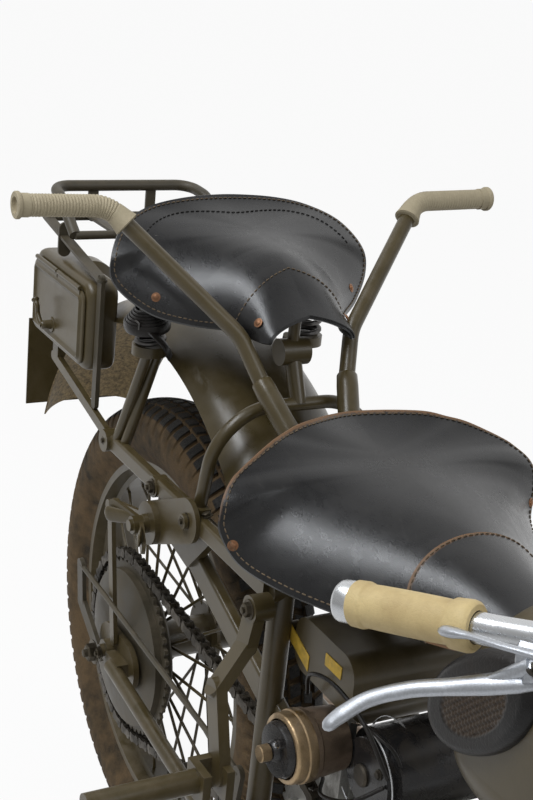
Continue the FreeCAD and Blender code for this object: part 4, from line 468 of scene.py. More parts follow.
def smooth_path(points, count):
    """Points evenly spaced on a curve that passes through the given ones."""
    points = np.asarray(points, float)
    padded = np.vstack([2 * points[0] - points[1], points, 2 * points[-1] - points[-2]])
    steps = np.linspace(0, len(points) - 1, 40 * len(points))
    start = np.minimum(steps.astype(int), len(points) - 2)
    part = (steps - start)[:, None]
    a, b, c, e = (padded[start + offset] for offset in range(4))
    return even(0.5 * (2 * b + (c - a) * part + (2 * a - 5 * b + 4 * c - e) * part ** 2
                       + (3 * b - a - 3 * c + e) * part ** 3), count)


def swept(path, radius, sides, flat, closed=False):
    """Rings across a line, that turn little from one to the next."""
    path = np.asarray(path, float)
    ahead = unit(np.roll(path, -1, 0) - np.roll(path, 1, 0) if closed else np.gradient(path, axis=0))
    across = [crossways(ahead[0])[0]]
    for direction in ahead[1:]:
        across.append(unit(across[-1] - direction * np.dot(across[-1], direction)))
    across = np.array(across)
    over = np.cross(ahead, across)
    angles = np.linspace(0, TAU, sides, endpoint=False)[None, :, None]
    size = np.broadcast_to(np.asarray(radius, float), (len(path),))[:, None, None]
    return path[:, None] + size * (np.cos(angles) * across[:, None] + flat * np.sin(angles) * over[:, None])


def helix(start, end, radius, turns, taper):
    """A coil spring's centre line, with flat end turns; the taper draws in both ends."""
    start, end = np.asarray(start, float), np.asarray(end, float)
    part = np.linspace(0, 1, int(turns * 18))
    rise = np.clip((part * turns - 0.6) / (turns - 1.2), 0, 1)[:, None]
    wide = radius * (1 - taper * (2 * part - 1) ** 2)[:, None]
    return start + rise * (end - start) + wide * circle(part * turns * TAU, *crossways(unit(end - start)))


def bolt(shape, place, direction, radius, height, stud=0.0):
    """A hexagon head with a chamfered face on its washer, and the thread's end if it has one."""
    base = 1.2
    top = base + height
    shape.turn(place, direction, [(0, 0), (0, radius * 1.55), (1.3, radius * 1.55), (1.5, 0)], 24)
    shape.turn(place, direction, [
        (base, 0), (base, radius * 1.12), (base + height * 0.82, radius * 1.12), (top, radius * 0.92),
        (top, 0)], 6)
    if stud:
        shape.turn(place, direction, [
            (base + height * 0.5, radius * 0.5), (top + stud * 0.85, radius * 0.5),
            (top + stud, radius * 0.36), (top + stud, 0)], 16)


def rivet(shape, place, out, radius):
    """A domed rivet on its washer."""
    shape.turn(np.asarray(place, float) - np.asarray(out, float) * 0.5, out, [
        (0, 0), (0, radius * 1.25), (0.9, radius * 1.3), (1.1, radius * 1.05), (1.2, radius * 0.8),
        (2.0, radius * 0.72), (2.7, radius * 0.4), (2.9, 0.0)], 24)


def stitches(shape, line, out, length, width=0.75):
    """Short rounded threads laid end to end along a line."""
    reach = travelled(line)
    thread = width * np.array([0.5, 0.95, 1.0, 0.95, 0.5])
    for start in np.arange(0, reach[-1] - length, length + STITCH_GAP):
        run = read_off(start + length * np.array([0.0, 0.12, 0.5, 0.88, 1.0]), reach, line)
        up = unit(read_off(start, reach, out))
        shape.bar(run + up * np.array([-0.2, 0.35, 0.55, 0.35, -0.2])[:, None], thread, 6)


# ---- Saddles

STITCH_GAP = 2.2
CAP_WALL, CAP_LIFT = 2.0, 1.9
INNER_GUIDE, INNER_GUIDE_NOSE = 0.36, 0.17
OUTER_GUIDE, OUTER_GUIDE_NOSE = 0.82, 0.16


class Saddle:
    """A leather seat as a fan of sections from its middle line out to its edge.

    Each section is the cubic curve from a point on the middle line to its point on the edge,
    with two guide points between them, at 36% and 82% of the way behind and at 53% and 98% on
    the nose, raised by the given heights.
    """

    ROWS = 150
    HALF_COLUMNS = 44

    def __init__(self, edge, spine_x, spine_heights, inner_rise, edge_rise):
        rows = self.ROWS
        edge = np.asarray(edge, float)
        both = np.vstack([edge[:0:-1] * [1, -1, 1], edge])
        line = smooth_path(both, 2 * rows - 1)[rows - 1:]
        reach = travelled(edge)
        stations = reach / reach[-1]
        along = np.linspace(0, 1, rows)
        x = self.softened(np.interp(along, stations, spine_x))
        heights = np.asarray(spine_heights, float)
        z = self.softened(np.interp(x, heights[:, 0], heights[:, 1]))
        inner = self.softened(np.interp(along, stations, inner_rise), 31)
        outer = self.softened(np.interp(along, stations, edge_rise), 31)
        spine = np.stack([x, 0 * x, z], axis=1)
        part = (np.sin((np.linspace(0, 1, self.HALF_COLUMNS) - 0.5) * math.pi * 0.6)
                / math.sin(math.pi * 0.3) + 1) / 2
        ahead = np.clip((along - 0.72) / 0.2, 0, 1)[:, None]
        first = spine + (line - spine) * (INNER_GUIDE + INNER_GUIDE_NOSE * ahead)
        slope = np.interp(x, heights[:, 0], np.gradient(heights[:, 1], heights[:, 0]))
        first[:, 2] = spine[:, 2] + self.softened(slope, 25) * (first[:, 0] - x) + inner
        second = spine + (line - spine) * (OUTER_GUIDE + OUTER_GUIDE_NOSE * ahead)
        second[:, 2] = line[:, 2] + outer
        t = part[None, :, None]
        right = ((1 - t) ** 3 * spine[:, None] + 3 * t * (1 - t) ** 2 * first[:, None]
                 + 3 * t ** 2 * (1 - t) * second[:, None] + t ** 3 * line[:, None]) * [1, -1, 1]
        left = right * [1, -1, 1]
        self.outside = np.concatenate([right[:, ::-1], left[:, 1:]], axis=1)
        self.middle = self.HALF_COLUMNS - 1
        inward = 1 - (np.abs(np.arange(self.outside.shape[1]) - self.middle) / self.middle) ** 3
        eased = np.apply_along_axis(self.softened, 0, self.outside[..., 2], 33)
        self.outside[..., 2] += (eased - self.outside[..., 2]) * inward
        self.creased()
        self.normals = self.normal_field(self.outside)
        self.normals[0, :, 1] = 0
        self.normals[0] = unit(self.normals[0])
        self.reach = self.edge_distance()

    @staticmethod
    def softened(values, reach=13):
        """A running mean with the ends held."""
        kernel = np.hanning(reach + 2)[1:-1]
        held = np.concatenate([2 * values[0] - values[reach // 2:0:-1], values,
                               2 * values[-1] - values[-2:-reach // 2 - 1:-1]])
        return np.convolve(held, kernel / kernel.sum(), "valid")

    def creased(self):
        """Presses shallow folds into the leather: sums of sine waves over its plan."""
        x, y = self.outside[..., 0], np.abs(self.outside[..., 1])
        along = (x - x.min()) / (x.max() - x.min())
        side = np.sign(self.outside[..., 1])
        wave = (np.sin(along * 23 + y * 0.09) * np.exp(-((along - 0.62) / 0.16) ** 2) * 0.6
                + np.sin(y * 0.055 + along * 7.0) * 0.5
                + np.sin(y * 0.021 * (1 + 0.2 * side) - along * 11.0) * 0.6)
        pole = self.outside[0, 0]
        away = np.hypot(x - pole[0], y)
        self.outside[..., 2] += 0.5 * wave * np.clip(1.2 - y / 120, 0, 1) * np.clip((away - 25) / 70, 0, 1)

    @staticmethod
    def normal_field(points):
        """Upward unit vectors across the grid, from the cross product of its two directions."""
        down = np.gradient(points, axis=0)
        across = np.gradient(points, axis=1)
        normals = unit(np.cross(across, down))
        normals = normals * np.where(normals[..., 2:3] < 0, -1.0, 1.0)
        normals[np.linalg.norm(np.cross(across, down), axis=-1) < 1e-6] = [0, 0, 1]
        return normals

    @staticmethod
    def run_in(points):
        """How far each point lies from the start of its row, along the row."""
        steps = np.linalg.norm(np.diff(points, axis=1), axis=2)
        return np.concatenate([np.zeros((len(steps), 1)), np.cumsum(steps, axis=1)], axis=1)

    def edge_distance(self):
        """How far each point lies from the side edge or the front lip, along the grid's lines."""
        run = self.run_in(self.outside)
        front = self.run_in(self.outside[::-1].swapaxes(0, 1)).T[::-1]
        return np.minimum(np.minimum(run, run[:, -1:] - run), front)

    def patch(self, values, first_middle, first_edge):
        """A field resampled from a curved line across the seat to its front."""
        columns = values.shape[1]
        share = (np.abs(np.arange(columns) - self.middle) / self.middle) ** 2.3
        first = first_middle + (first_edge - first_middle) * share
        place = (first + (1 - first) * np.linspace(0, 1, 40)[:, None]) * (self.ROWS - 1)
        low = np.minimum(place.astype(int), self.ROWS - 2)
        part = place - low
        column = np.broadcast_to(np.arange(columns), place.shape)
        if values.ndim == 3:
            part = part[..., None]
        return values[low, column] * (1 - part) + values[low + 1, column] * part

    def inset_line(self, distance, lift, last=ROWS):
        """The line round the seat at one distance inside its edge, right side to left side.

        Gives its points and the outward directions there, from the back to the last row.
        """
        places, outs = [], []
        for columns in (slice(0, self.middle + 1), slice(2 * self.middle, self.middle - 1, -1)):
            reach = self.run_in(self.outside[:last, columns])
            outward = self.normals[:last, columns]
            points = self.outside[:last, columns] + outward * lift
            before = np.clip((reach < distance).sum(axis=1), 1, self.middle)
            row = np.arange(len(reach))
            span = reach[row, before] - reach[row, before - 1]
            part = np.clip((distance - reach[row, before - 1]) / np.maximum(span, 1e-6), 0, 1)[:, None]
            places.append(points[row, before - 1] * (1 - part) + points[row, before] * part)
            outs.append(outward[row, before])
        return [np.concatenate([right[::-1], left[1:]]) for right, left in (places, outs)]

    def nearest(self, target):
        """The place on the leather closest to a point, and its outward direction."""
        flat = self.outside.reshape(-1, 3)
        closest = np.linalg.norm(flat - target, axis=1).argmin()
        return flat[closest], self.normals.reshape(-1, 3)[closest]


def leather_piece(name, outside, normals, reach, wall, wear, lift=0.0, open_front=False):
    """A sheet of leather with both faces and its cut edges, at a height above the seat's surface.

    Its rounded edges stand out by a share of the wall, and a fan of narrow faces closes the lip.
    """
    outer = outside + normals * lift
    inner = outer - normals * wall
    bulge = wall * 0.4
    right = (outer[:, :1] + inner[:, :1]) / 2 + unit(outer[:, :1] - outer[:, 3:4]) * bulge
    left = (outer[:, -1:] + inner[:, -1:]) / 2 + unit(outer[:, -1:] - outer[:, -4:-3]) * bulge
    loop = np.concatenate([right, outer, left, inner[:, ::-1]], axis=1)
    lip = (outer[-1] + inner[-1]) / 2 + unit(outer[-1] - outer[-4]) * bulge
    rim = (1 - reach / 12) * np.interp(np.arange(len(reach)) / len(reach), [0.34, 0.46], [1, 0.4])[:, None]
    values = np.clip(np.concatenate([rim[:, :1], rim, rim[:, :1], rim[:, ::-1]], axis=1), 0, 1)
    shape = Shape().grid(loop, around=True)
    columns = np.arange(outer.shape[1])
    base = shape.count
    right_corner = base - loop.shape[1]
    top, middle, bottom = right_corner + 1 + columns, base + columns, base - 1 - columns
    left_corner = int(top[-1]) + 1
    shape.points.append(lip)
    shape.count += len(columns)
    for upper, lower in ((top, middle), (middle, bottom)):
        shape.faces += np.stack([upper[:-1], upper[1:], lower[1:], lower[:-1]], axis=1).tolist()
    shape.faces += np.array([
        (right_corner, top[0], middle[0]), (right_corner, middle[0], bottom[0]),
        (left_corner, middle[-1], top[-1]), (left_corner, bottom[-1], middle[-1])]).tolist()
    if open_front:
        shape.faces.append(np.arange(loop.shape[1])[::-1].tolist())
    values = np.concatenate([values.reshape(-1), np.full(len(columns), 0.4)]) * wear
    made = shape.object(name, "leather", "chassis", "leather", attribute=values, weld=10 * WELD)
    return made


# ---- Where the fixed parts are, in millimetres from the rear axle

REAR_AXLE = (0, 0, 342)
FRONT_AXLE = (1455, 0, 330)
HEAD_LEAN = math.radians(27)
STEER_UP = np.array([-math.sin(HEAD_LEAN), 0, math.cos(HEAD_LEAN)])
SIDES = (-1, 1)


def sided(point, side):
    """A point of the left side, or its mirror image on the right for side -1."""
    return np.array([point[0], point[1] * side, point[2]], float)


def sided_path(points, side, count):
    """A smooth line through points of the left side, or its mirror image."""
    return smooth_path([sided(point, side) for point in points], count)


def node_box(node):
    """A solid's lowest and highest corners, in millimetres from the rear axle."""
    low, high = (np.array(corner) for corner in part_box(node))
    origin = np.array([REAR_AXLE_X, 0, REAR_LIFT])
    return (low - origin) * 1000, (high - origin) * 1000


def metres(name, description, default):
    """A size that the panel shows as a length."""
    return bpy.props.FloatProperty(name=name, description=description, default=default, unit="LENGTH")


pillion_seat = dict(
    edge=[(32, 0, 987), (38, 66, 984), (44, 114, 974), (64, 151, 957), (90, 173, 928), (103, 173, 898),
          (135, 143, 872), (171, 108, 866), (205, 80, 869), (236, 64, 869), (262, 59, 870), (274, 55, 872)],
    spine_x=[95, 98, 102, 108, 116, 126, 140, 160, 185, 212, 240, 262],
    spine_heights=[(90, 964), (110, 959), (130, 956), (150, 954), (170, 951), (190, 946), (205, 939),
                   (220, 929), (235, 917), (250, 905), (262, 897)],
    inner_rise=[0] * 8 + [-1, -1, -1, 0],
    edge_rise=[-11, -9, -3, 6, 18, 42, 54, 48, 42, 34, 22, 12])

rider_seat = dict(
    edge=[(371, 0, 823), (396, 69, 827), (407, 103, 821), (418, 125, 816), (433, 162, 800), (440, 178, 790),
          (451, 190, 779), (459, 196, 764), (463, 196, 745), (480, 182, 718), (520, 160, 708),
          (565, 130, 703), (615, 98, 703), (655, 72, 706), (690, 56, 712), (725, 46, 724)],
    spine_x=[438, 440, 444, 448, 455, 462, 470, 478, 488, 510, 540, 578, 622, 660, 690, 716],
    spine_heights=[(430, 805), (460, 801), (500, 797), (540, 793), (580, 787), (620, 780), (660, 773),
                   (690, 767), (716, 762)],
    inner_rise=[0] * 16,
    edge_rise=[-7, -7, -5, -3, 4, 10, 20, 34, 48, 58, 56, 52, 48, 44, 38, 30])


class MotorcycleSaddleSizes(bpy.types.PropertyGroup):
    """Leather and thread sizes."""
    wall: metres("Leather", "Thickness of the saddle leather", 0.0045)
    stitch: metres("Stitch", "Length of one stitch", 0.0045)
    seam: metres("Seam", "Distance of the rim's stitching from the edge", 0.006)


class MOTORCYCLE_OT_saddles(bpy.types.Operator):
    """Both leather saddles with their nose caps, stitching and rivets"""
    bl_idname = "motorcycle.saddles"
    bl_label = "Saddles"

    def execute(self, context):
        sizes = context.scene.motorcycle_saddle
        wall, stitch, seam = (1000 * value for value in (sizes.wall, sizes.stitch, sizes.seam))
        seats = (("pillion", pillion_seat, (0.885, 0.865), 0.5, [(124, 125, 883), (246, 53, 885)]),
                 ("rider", rider_seat, (0.74, 0.86), 1.0, [(470, 186, 735), (640, 84, 712)]))
        for name, outline, cap, wear, rivets in seats:
            seat = Saddle(**outline)
            fields = (seat.outside, seat.normals, seat.reach)
            solid = leather_piece(f"{name}_saddle_leather", *fields, wall, wear)
            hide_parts(f"{name}_saddle")
            nose, outward, reach = (seat.patch(field, *cap) for field in fields)
            back = np.linalg.norm(nose - nose[:1], axis=2)
            leather_piece(f"{name}_nose_cap", nose, outward, np.minimum(reach, back), CAP_WALL, wear,
                          lift=CAP_LIFT, open_front=True)
            thread = Shape()
            stitches(thread, *seat.inset_line(seam, 0.2), stitch)
            stitches(thread, nose[1] + outward[1] * 2.0, outward[1], stitch)
            thread.object(f"{name}_stitching", "thread", "chassis", "leather")
            studs = Shape()
            for place in rivets:
                for side in SIDES:
                    spot, out = seat.nearest(sided(place, side))
                    rivet(studs, spot + out * (3.4 if place is rivets[1] else 0), out, 4.3)
            studs.object(f"{name}_rivets", "copper", "chassis", "leather")
            if name == "pillion":
                dark = Shape()
                stitches(dark, *seat.inset_line(36, 0.2, last=72), stitch, width=0.6)
                dark.object("pillion_inner_stitching", "black_rubber", "chassis", "leather")
        return {"FINISHED"}


# ---- Tyres


class MotorcycleTyreSizes(bpy.types.PropertyGroup):
    """Tread of both tyres."""
    pitches: bpy.props.IntProperty(name="Blocks round", description="Tread blocks round the tyre",
                                   default=92, min=40)
    depth: metres("Groove depth", "Depth of the tread's grooves", 0.0058)


TREAD_HALF = 43
CROWN, SHOULDER = 342, 330
CROWN_DROP, CROWN_CURVE = 12, 2.1
CLEAN_ABOVE = 326
ROW_EDGES = [-43, -27.5, -24.5, -10.5, -7.5, 7.5, 10.5, 24.5, 27.5, 43]
BLOCK_COLUMNS = np.array([0.0, 0.12, 0.2, 0.5, 0.8, 0.88])
IN_BLOCK = np.array([0, 0, 1.0, 1.0, 1.0, 0])
SLANT = 0.16


def tyre_surface(axle, pitches, depth):
    """A closed section carried round the axle; over the tread the radius drops in the grooves.

    A groove lies where the place round the tyre, in pitches, is near a whole number; every
    second row of blocks is set half a pitch on, and the columns of the grid follow the blocks.
    Gives the points, and how much each stands out as a block.
    """
    rows = []
    for number, (low, top) in enumerate(zip(ROW_EDGES[::2], ROW_EDGES[1::2])):
        for share, raised in ((0.0, 0), (0.07, 1), (0.5, 1), (0.93, 1), (1.0, 0)):
            place = low + (top - low) * share
            shift = 0.5 * (number % 2) + SLANT * (-1) ** number * (share - 0.5)
            rows.append((place, 1 if abs(place) == TREAD_HALF else raised, shift))
    place, raised, shift = np.array(rows).T
    side = smooth_path([(TREAD_HALF, SHOULDER), (47.5, 324), (51, 316), (53.3, 304), (53.2, 292), (50, 280),
                        (44.5, 270), (39.5, 263), (38.5, 259), (35, 253), (33, 249), (27, 247), (22, 249),
                        (20, 262), (30, 275), (38, 290), (38, 310), (30, 324), (0, SHOULDER)], 46)[1:-1]
    lugs = 0.6 * np.interp(side[:, 1], [303, 312, SHOULDER], [0, 1.5, 1.5]) * (side[:, 0] > 40)

    def section(over_tread, on_side, between, mirrored):
        return np.concatenate([over_tread, on_side, [between], mirrored[::-1]])

    section_y = section(place, side[:, 0], 0.0, -side[:, 0])
    crown = CROWN - CROWN_DROP * np.abs(place / TREAD_HALF) ** CROWN_CURVE
    section_r = section(crown, side[:, 1], SHOULDER, side[:, 1])
    blocky = section(raised, lugs, 0.0, lugs)
    tread = section(np.ones(len(place)), lugs, 0.0, lugs)
    shifted = section(shift, np.full(len(side), shift[-1]), 0.0, np.full(len(side), shift[0]))
    high = np.tile(IN_BLOCK, pitches)[:, None]
    drop = depth * tread * (1 - blocky / np.maximum(tread, 1e-9) * high)
    drop = np.where(tread > 0, np.clip(drop, 0, depth), 0)
    around = (np.arange(pitches)[:, None] + BLOCK_COLUMNS).reshape(-1, 1)
    angle = (around + shifted) * TAU / pitches
    radius = section_r - drop
    points = np.stack([radius * np.cos(angle), section_y + 0 * radius, radius * np.sin(angle)], axis=-1)
    raised = np.clip(1 - drop / depth, 0, 1) * np.clip(tread * 1.7, 0, 1) * (section_r > CLEAN_ABOVE)
    return points + axle, raised


class MOTORCYCLE_OT_tyres(bpy.types.Operator):
    """Both tyres with their block tread"""
    bl_idname = "motorcycle.tyres"
    bl_label = "Tyres"

    def execute(self, context):
        sizes = context.scene.motorcycle_tyre
        for name, axle, body in (("rear", REAR_AXLE, "rear_wheel"), ("front", FRONT_AXLE, "front_wheel")):
            points, raised = tyre_surface(axle, sizes.pitches, sizes.depth * 1000)
            shape = Shape().grid(points, around=True, along=True)
            tyre = shape.object(f"{name}_tyre_tread", "tyre_rubber", body, "tyre_rubber",
                                attribute=raised.reshape(-1))
            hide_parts(f"{name}_tyre")
        return {"FINISHED"}


# ---- Grips, footrest rubbers and knee pads


class MotorcycleGripSizes(bpy.types.PropertyGroup):
    """Ribs of the rubber grips."""
    rib_pitch: metres("Rib pitch", "Distance from rib to rib on the pillion grips", 0.0037)
    rib_height: metres("Rib height", "Height of the pillion grips' ribs", 0.0004)


def rounded_corner(first, corner, last, radius, count=24):
    """A straight run, an arc of the given radius and a straight run, as one line."""
    first, corner, last = (np.asarray(point, float) for point in (first, corner, last))
    back, ahead = unit(first - corner), unit(last - corner)
    half = math.acos(np.clip(np.dot(back, ahead), -1, 1)) / 2
    reach = radius / math.tan(half)
    centre = corner + unit(back + ahead) * (radius / math.sin(half))
    start, end = corner + back * reach, corner + ahead * reach
    across = unit(start - centre)
    over = unit((end - centre) - across * np.dot(end - centre, across))
    sweep = math.pi - 2 * half
    return np.vstack([first, centre + radius * circle(np.linspace(0, sweep, count), across, over), last])


SLEEVE_RADIUS = 12.3
SLEEVE_START = 0.145
CONE_REACH, CONE_RISE = 20, 3.6
PLAIN_END = 11
LEFT_RIBS = 0.25


class MOTORCYCLE_OT_grips(bpy.types.Operator):
    """The ribbed pillion grips and the plain rider's grips with their end caps"""
    bl_idname = "motorcycle.grips"
    bl_label = "Grips"

    def execute(self, context):
        sizes = context.scene.motorcycle_grip
        shape, rubber_shape, caps = Shape(), Shape(), Shape()
        for side in SIDES:
            self.pillion_grip(shape, side, sizes.rib_pitch * 1000, sizes.rib_height * 1000)
            self.rider_grip(rubber_shape, caps, side)
        made = shape.object("pillion_grip_rubbers", "grey_rubber", "chassis", "grey_rubber")
        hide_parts("pillion_grips")
        made = rubber_shape.object("rider_grip_rubbers", "cream_rubber", "steering", "cream_rubber")
        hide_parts("bar_grips")
        caps.object("rider_grip_caps", "chrome", "steering", "chrome")
        return {"FINISHED"}

    def pillion_grip(self, shape, side, pitch, height):
        """A bent sleeve: square waves for ribs, a cone at its start and a flange at its end."""
        knee, tip = sided((147, 205, 1001), side), sided((150, 309, 1004), side)
        inner = knee + (sided((239, 73, 870), side) - knee) * SLEEVE_START
        path = even(rounded_corner(inner, knee, tip, 38), 360)
        reach = np.linspace(0, np.linalg.norm(np.diff(path, axis=0), axis=1).sum(), len(path))
        ribbed = 1 if side < 0 else LEFT_RIBS
        ribs = SLEEVE_RADIUS + ribbed * height * np.clip(np.sin(reach / pitch * TAU) * 1.6, -1, 1)
        cone = CONE_RISE * np.clip(1 - reach / CONE_REACH, 0, 1) ** 1.5
        radius = np.where(reach > reach[-1] - PLAIN_END, SLEEVE_RADIUS + 0.9, ribs)
        radius = np.where(reach < CONE_REACH, SLEEVE_RADIUS + 0.3 + cone, radius)
        shape.bar(path, radius - 3.0 * np.clip(1 - reach / 1.2, 0, 1), 32)
        shape.turn(tip, (0, side, 0), [
            (-2, 11), (-2, 13.2), (-1, 14.6), (0, 15.2), (3, 15.2), (4, 14.4), (4, 9.5), (-3, 8.5),
            (-3, 0)], 40)

    def rider_grip(self, shape, caps, side):
        """A plain barrel with a flange at both ends, and the bar's plated end in it."""
        outer, bend = sided((824, 277, 868.5), side), sided((930, 230.5, 893.5), side)
        inner = (bend - outer) * 0.84
        size = np.linalg.norm(inner)
        wave = np.linspace(0, 1, 60)
        barrel = zip(14.5 + (size - 35) * wave, 15.6 + 0.5 * np.sin(wave * math.pi) ** 0.5)
        shape.turn(outer, inner, [
            (1.0, 11.5), (1.0, 15.6), (2.2, 16.8), (10.5, 17.1), (12.4, 16.6), (13.4, 15.7), *barrel,
            (size - 19, 15.9), (size - 16.5, 17.6), (size - 5, 18.2), (size - 2, 17.6), (size, 15.6),
            (size, 11.5)], 48)
        caps.turn(outer, -inner, [
            (-3, 11), (-3, 15.0), (-1, 15.6), (8.5, 15.6), (10.6, 15.0), (12, 13.4), (12.6, 9),
            (12.2, 0)], 40)


PAD_X, PAD_Z = 810, 747
PAD_HALF_LONG, PAD_HALF_WIDE = 76, 41
PAD_TILT = 0.72
PAD_HEIGHT, PAD_UNDER = 11.5, 4
PAD_RIM = 0.8
CHECK_SIZE, CHECK_HEIGHT = 7.0, 0.45
CHECK_FIELD = 0.62


def tank_side(x, z):
    """Half the tank's width at a place on its side: upright low down, drawn in above the middle."""
    above = np.clip((z - 751) / 111, 0, 1)
    return 131.5 * (1 - 0.27 * above ** 1.9) * (1 - 0.02 * np.clip((x - 850) / 100, 0, 1))


class MOTORCYCLE_OT_knee_pads(bpy.types.Operator):
    """The rubber knee pads, checked in the middle: the sum of two slanting waves"""
    bl_idname = "motorcycle.knee_pads"
    bl_label = "Knee Pads"

    def execute(self, context):
        shape = Shape()
        rim = PAD_RIM + 0.2 * np.sin(np.linspace(0.06, 1, 16) * math.pi / 2)
        rings = np.concatenate([np.linspace(0, PAD_RIM, 46), rim])
        angles = np.linspace(0, TAU, 180, endpoint=False)
        share, angle = np.meshgrid(rings, angles, indexing="ij")
        along, across = PAD_HALF_LONG * share * np.cos(angle), PAD_HALF_WIDE * share * np.sin(angle)
        x = PAD_X + along * math.cos(PAD_TILT) - across * math.sin(PAD_TILT)
        z = PAD_Z + along * math.sin(PAD_TILT) + across * math.cos(PAD_TILT)
        edge = np.sqrt(np.clip(1 - (np.clip(share - PAD_RIM, 0, 1) / 0.2) ** 2, 0, 1))
        field = np.clip((CHECK_FIELD - share) * 16, 0, 1)
        checks = sum(np.clip(np.cos(way / CHECK_SIZE * TAU) * 2, -1, 1) for way in (x + z, x - z))
        high = (PAD_HEIGHT + (CHECK_HEIGHT * checks - 1.2) * field) * edge
        for side in SIDES:
            over = np.stack([x, side * (tank_side(x, z) + high), z], axis=-1)
            under = np.stack([x, side * (tank_side(x, z) - PAD_UNDER), z], axis=-1)[::-1]
            shape.grid(np.concatenate([over, under]), around=True)
        made = shape.object("knee_pad_rubbers", "black_rubber", "chassis", "black_rubber", weld=10 * WELD,
                            attribute=np.tile(np.concatenate([field, 0 * field]).reshape(-1), 2))
        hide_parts("knee_pads")
        return {"FINISHED"}


PEG_START, PEG_RIM = 150, 7
PEG_RADIUS, PEG_RIM_RADIUS, PEG_BORE = 14.0, 14.9, 8.4
PEG_RIB, PEG_RIB_PITCH = 0.95, 9


class MOTORCYCLE_OT_footrests(bpy.types.Operator):
    """The ribbed rubbers of the rider's footrests"""
    bl_idname = "motorcycle.footrests"
    bl_label = "Footrest Rubbers"

    def execute(self, context):
        low, high = node_box("footrest_rubbers")
        x, z = (low[0] + high[0]) / 2, (low[2] + high[2]) / 2
        reach = np.linspace(0, high[1] - PEG_START, 150)
        ribs = PEG_RADIUS + PEG_RIB * np.clip(np.sin(reach / PEG_RIB_PITCH * TAU) * 2, -1, 1)
        ribs = np.where((reach < PEG_RIM) | (reach > reach[-1] - PEG_RIM), PEG_RIM_RADIUS, ribs)
        shape = Shape()
        for side in SIDES:
            outline = [(0, PEG_BORE), *zip(reach, ribs), (reach[-1], PEG_BORE)]
            shape.turn((x, side * PEG_START, z), (0, side, 0), outline, 30)
        made = shape.object("footrest_rubber_ribs", "black_rubber", "chassis", "black_rubber")
        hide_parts("footrest_rubbers")
        return {"FINISHED"}


# ---- Springs and chain

COIL_RADIUS, COIL_WIRE, COIL_PITCH, COIL_TAPER = 18.5, 3.4, 12.5, 0.12
COIL_SEAT = 3.5
UNDER_LEATHER = 7
FORK_COIL_RADIUS, FORK_COIL_WIRE, FORK_COIL_REACH = 22.8, 4.0, 27


class MOTORCYCLE_OT_springs(bpy.types.Operator):
    """The coil springs of both saddles and of the front fork"""
    bl_idname = "motorcycle.springs"
    bl_label = "Springs"

    def execute(self, context):
        shape = Shape()
        for outline, x, y, low, above in (
                (pillion_seat, 75, 110, 812, 950), (rider_seat, 425, 100, 664.3, 800)):
            seat = Saddle(**outline)
            for side in SIDES:
                top = seat.nearest((x, side * y, above))[0][2] - UNDER_LEATHER
                start, end = (x, side * y, low + COIL_SEAT), (x, side * y, top - COIL_SEAT)
                turns = max(4, round((top - low) / COIL_PITCH))
                shape.bar(helix(start, end, COIL_RADIUS, turns, COIL_TAPER), COIL_WIRE, 10)
        made = shape.object("saddle_coil_springs", "spring_steel", "chassis", "spring_steel")
        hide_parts("saddle_springs")
        low, high = node_box("fork_spring")
        middle = (low + high) / 2
        run = (high[2] - low[2] - 2 * FORK_COIL_REACH * math.sin(HEAD_LEAN)) / math.cos(HEAD_LEAN)
        half = STEER_UP * (run / 2 - FORK_COIL_WIRE)
        shape = Shape().bar(helix(middle - half, middle + half, FORK_COIL_RADIUS, 9, 0.2), FORK_COIL_WIRE)
        made = shape.object("fork_coil_spring", "spring_steel", "steering", "spring_steel")
        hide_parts("fork_spring")
        return {"FINISHED"}


CHAIN_PITCH = 15.875
CHAIN_TEETH = (52, 17)
CHAIN_CENTRES = np.array([(0, 342), (475, 395)], float)
CHAIN_Y = -72
LINK_HALF_HEIGHT = 7.2
INNER_PLATES, OUTER_PLATES = (3.4, 5.0), (5.2, 6.8)
PIN_HALF, PIN_RADIUS = 7, 2.3
ROLLER_HALF, ROLLER_RADIUS = 3.3, 4.9
LINK_END = np.array([(-1.0, 0.0), (-0.75, 0.8), (-0.1, 1.0), (0.45, 0.72)])


def belt_line():
    """The chain's pitch line: the places of its pins, two arcs and two straight runs in turn."""
    big, small = (CHAIN_PITCH / 2 / math.sin(math.pi / teeth) for teeth in CHAIN_TEETH)
    gap = CHAIN_CENTRES[1] - CHAIN_CENTRES[0]
    slope, span = math.atan2(gap[1], gap[0]), np.linalg.norm(gap)
    opening = math.acos((big - small) / span)
    straight = math.sqrt(span ** 2 - (big - small) ** 2)
    wraps = np.array([big * (TAU - 2 * opening), straight, small * 2 * opening, straight])
    ends = np.cumsum(wraps)
    links = 2 * round(ends[-1] / CHAIN_PITCH / 2)
    length = np.arange(links) * ends[-1] / links
    part = np.searchsorted(ends, length, side="right")
    run = length - (ends - wraps)[part]
    on_arc = part % 2 == 0
    radius = np.choose(part, [big, big, small, small])
    angle = np.choose(part, [slope + opening, slope - opening, slope - opening, slope + opening])
    angle = angle + on_arc * run / radius
    centre = CHAIN_CENTRES[(part >= 2).astype(int)]
    out, turn = np.array([np.cos(angle), np.sin(angle)]), np.array([-np.sin(angle), np.cos(angle)])
    return centre + (out * radius + turn * run * ~on_arc).T


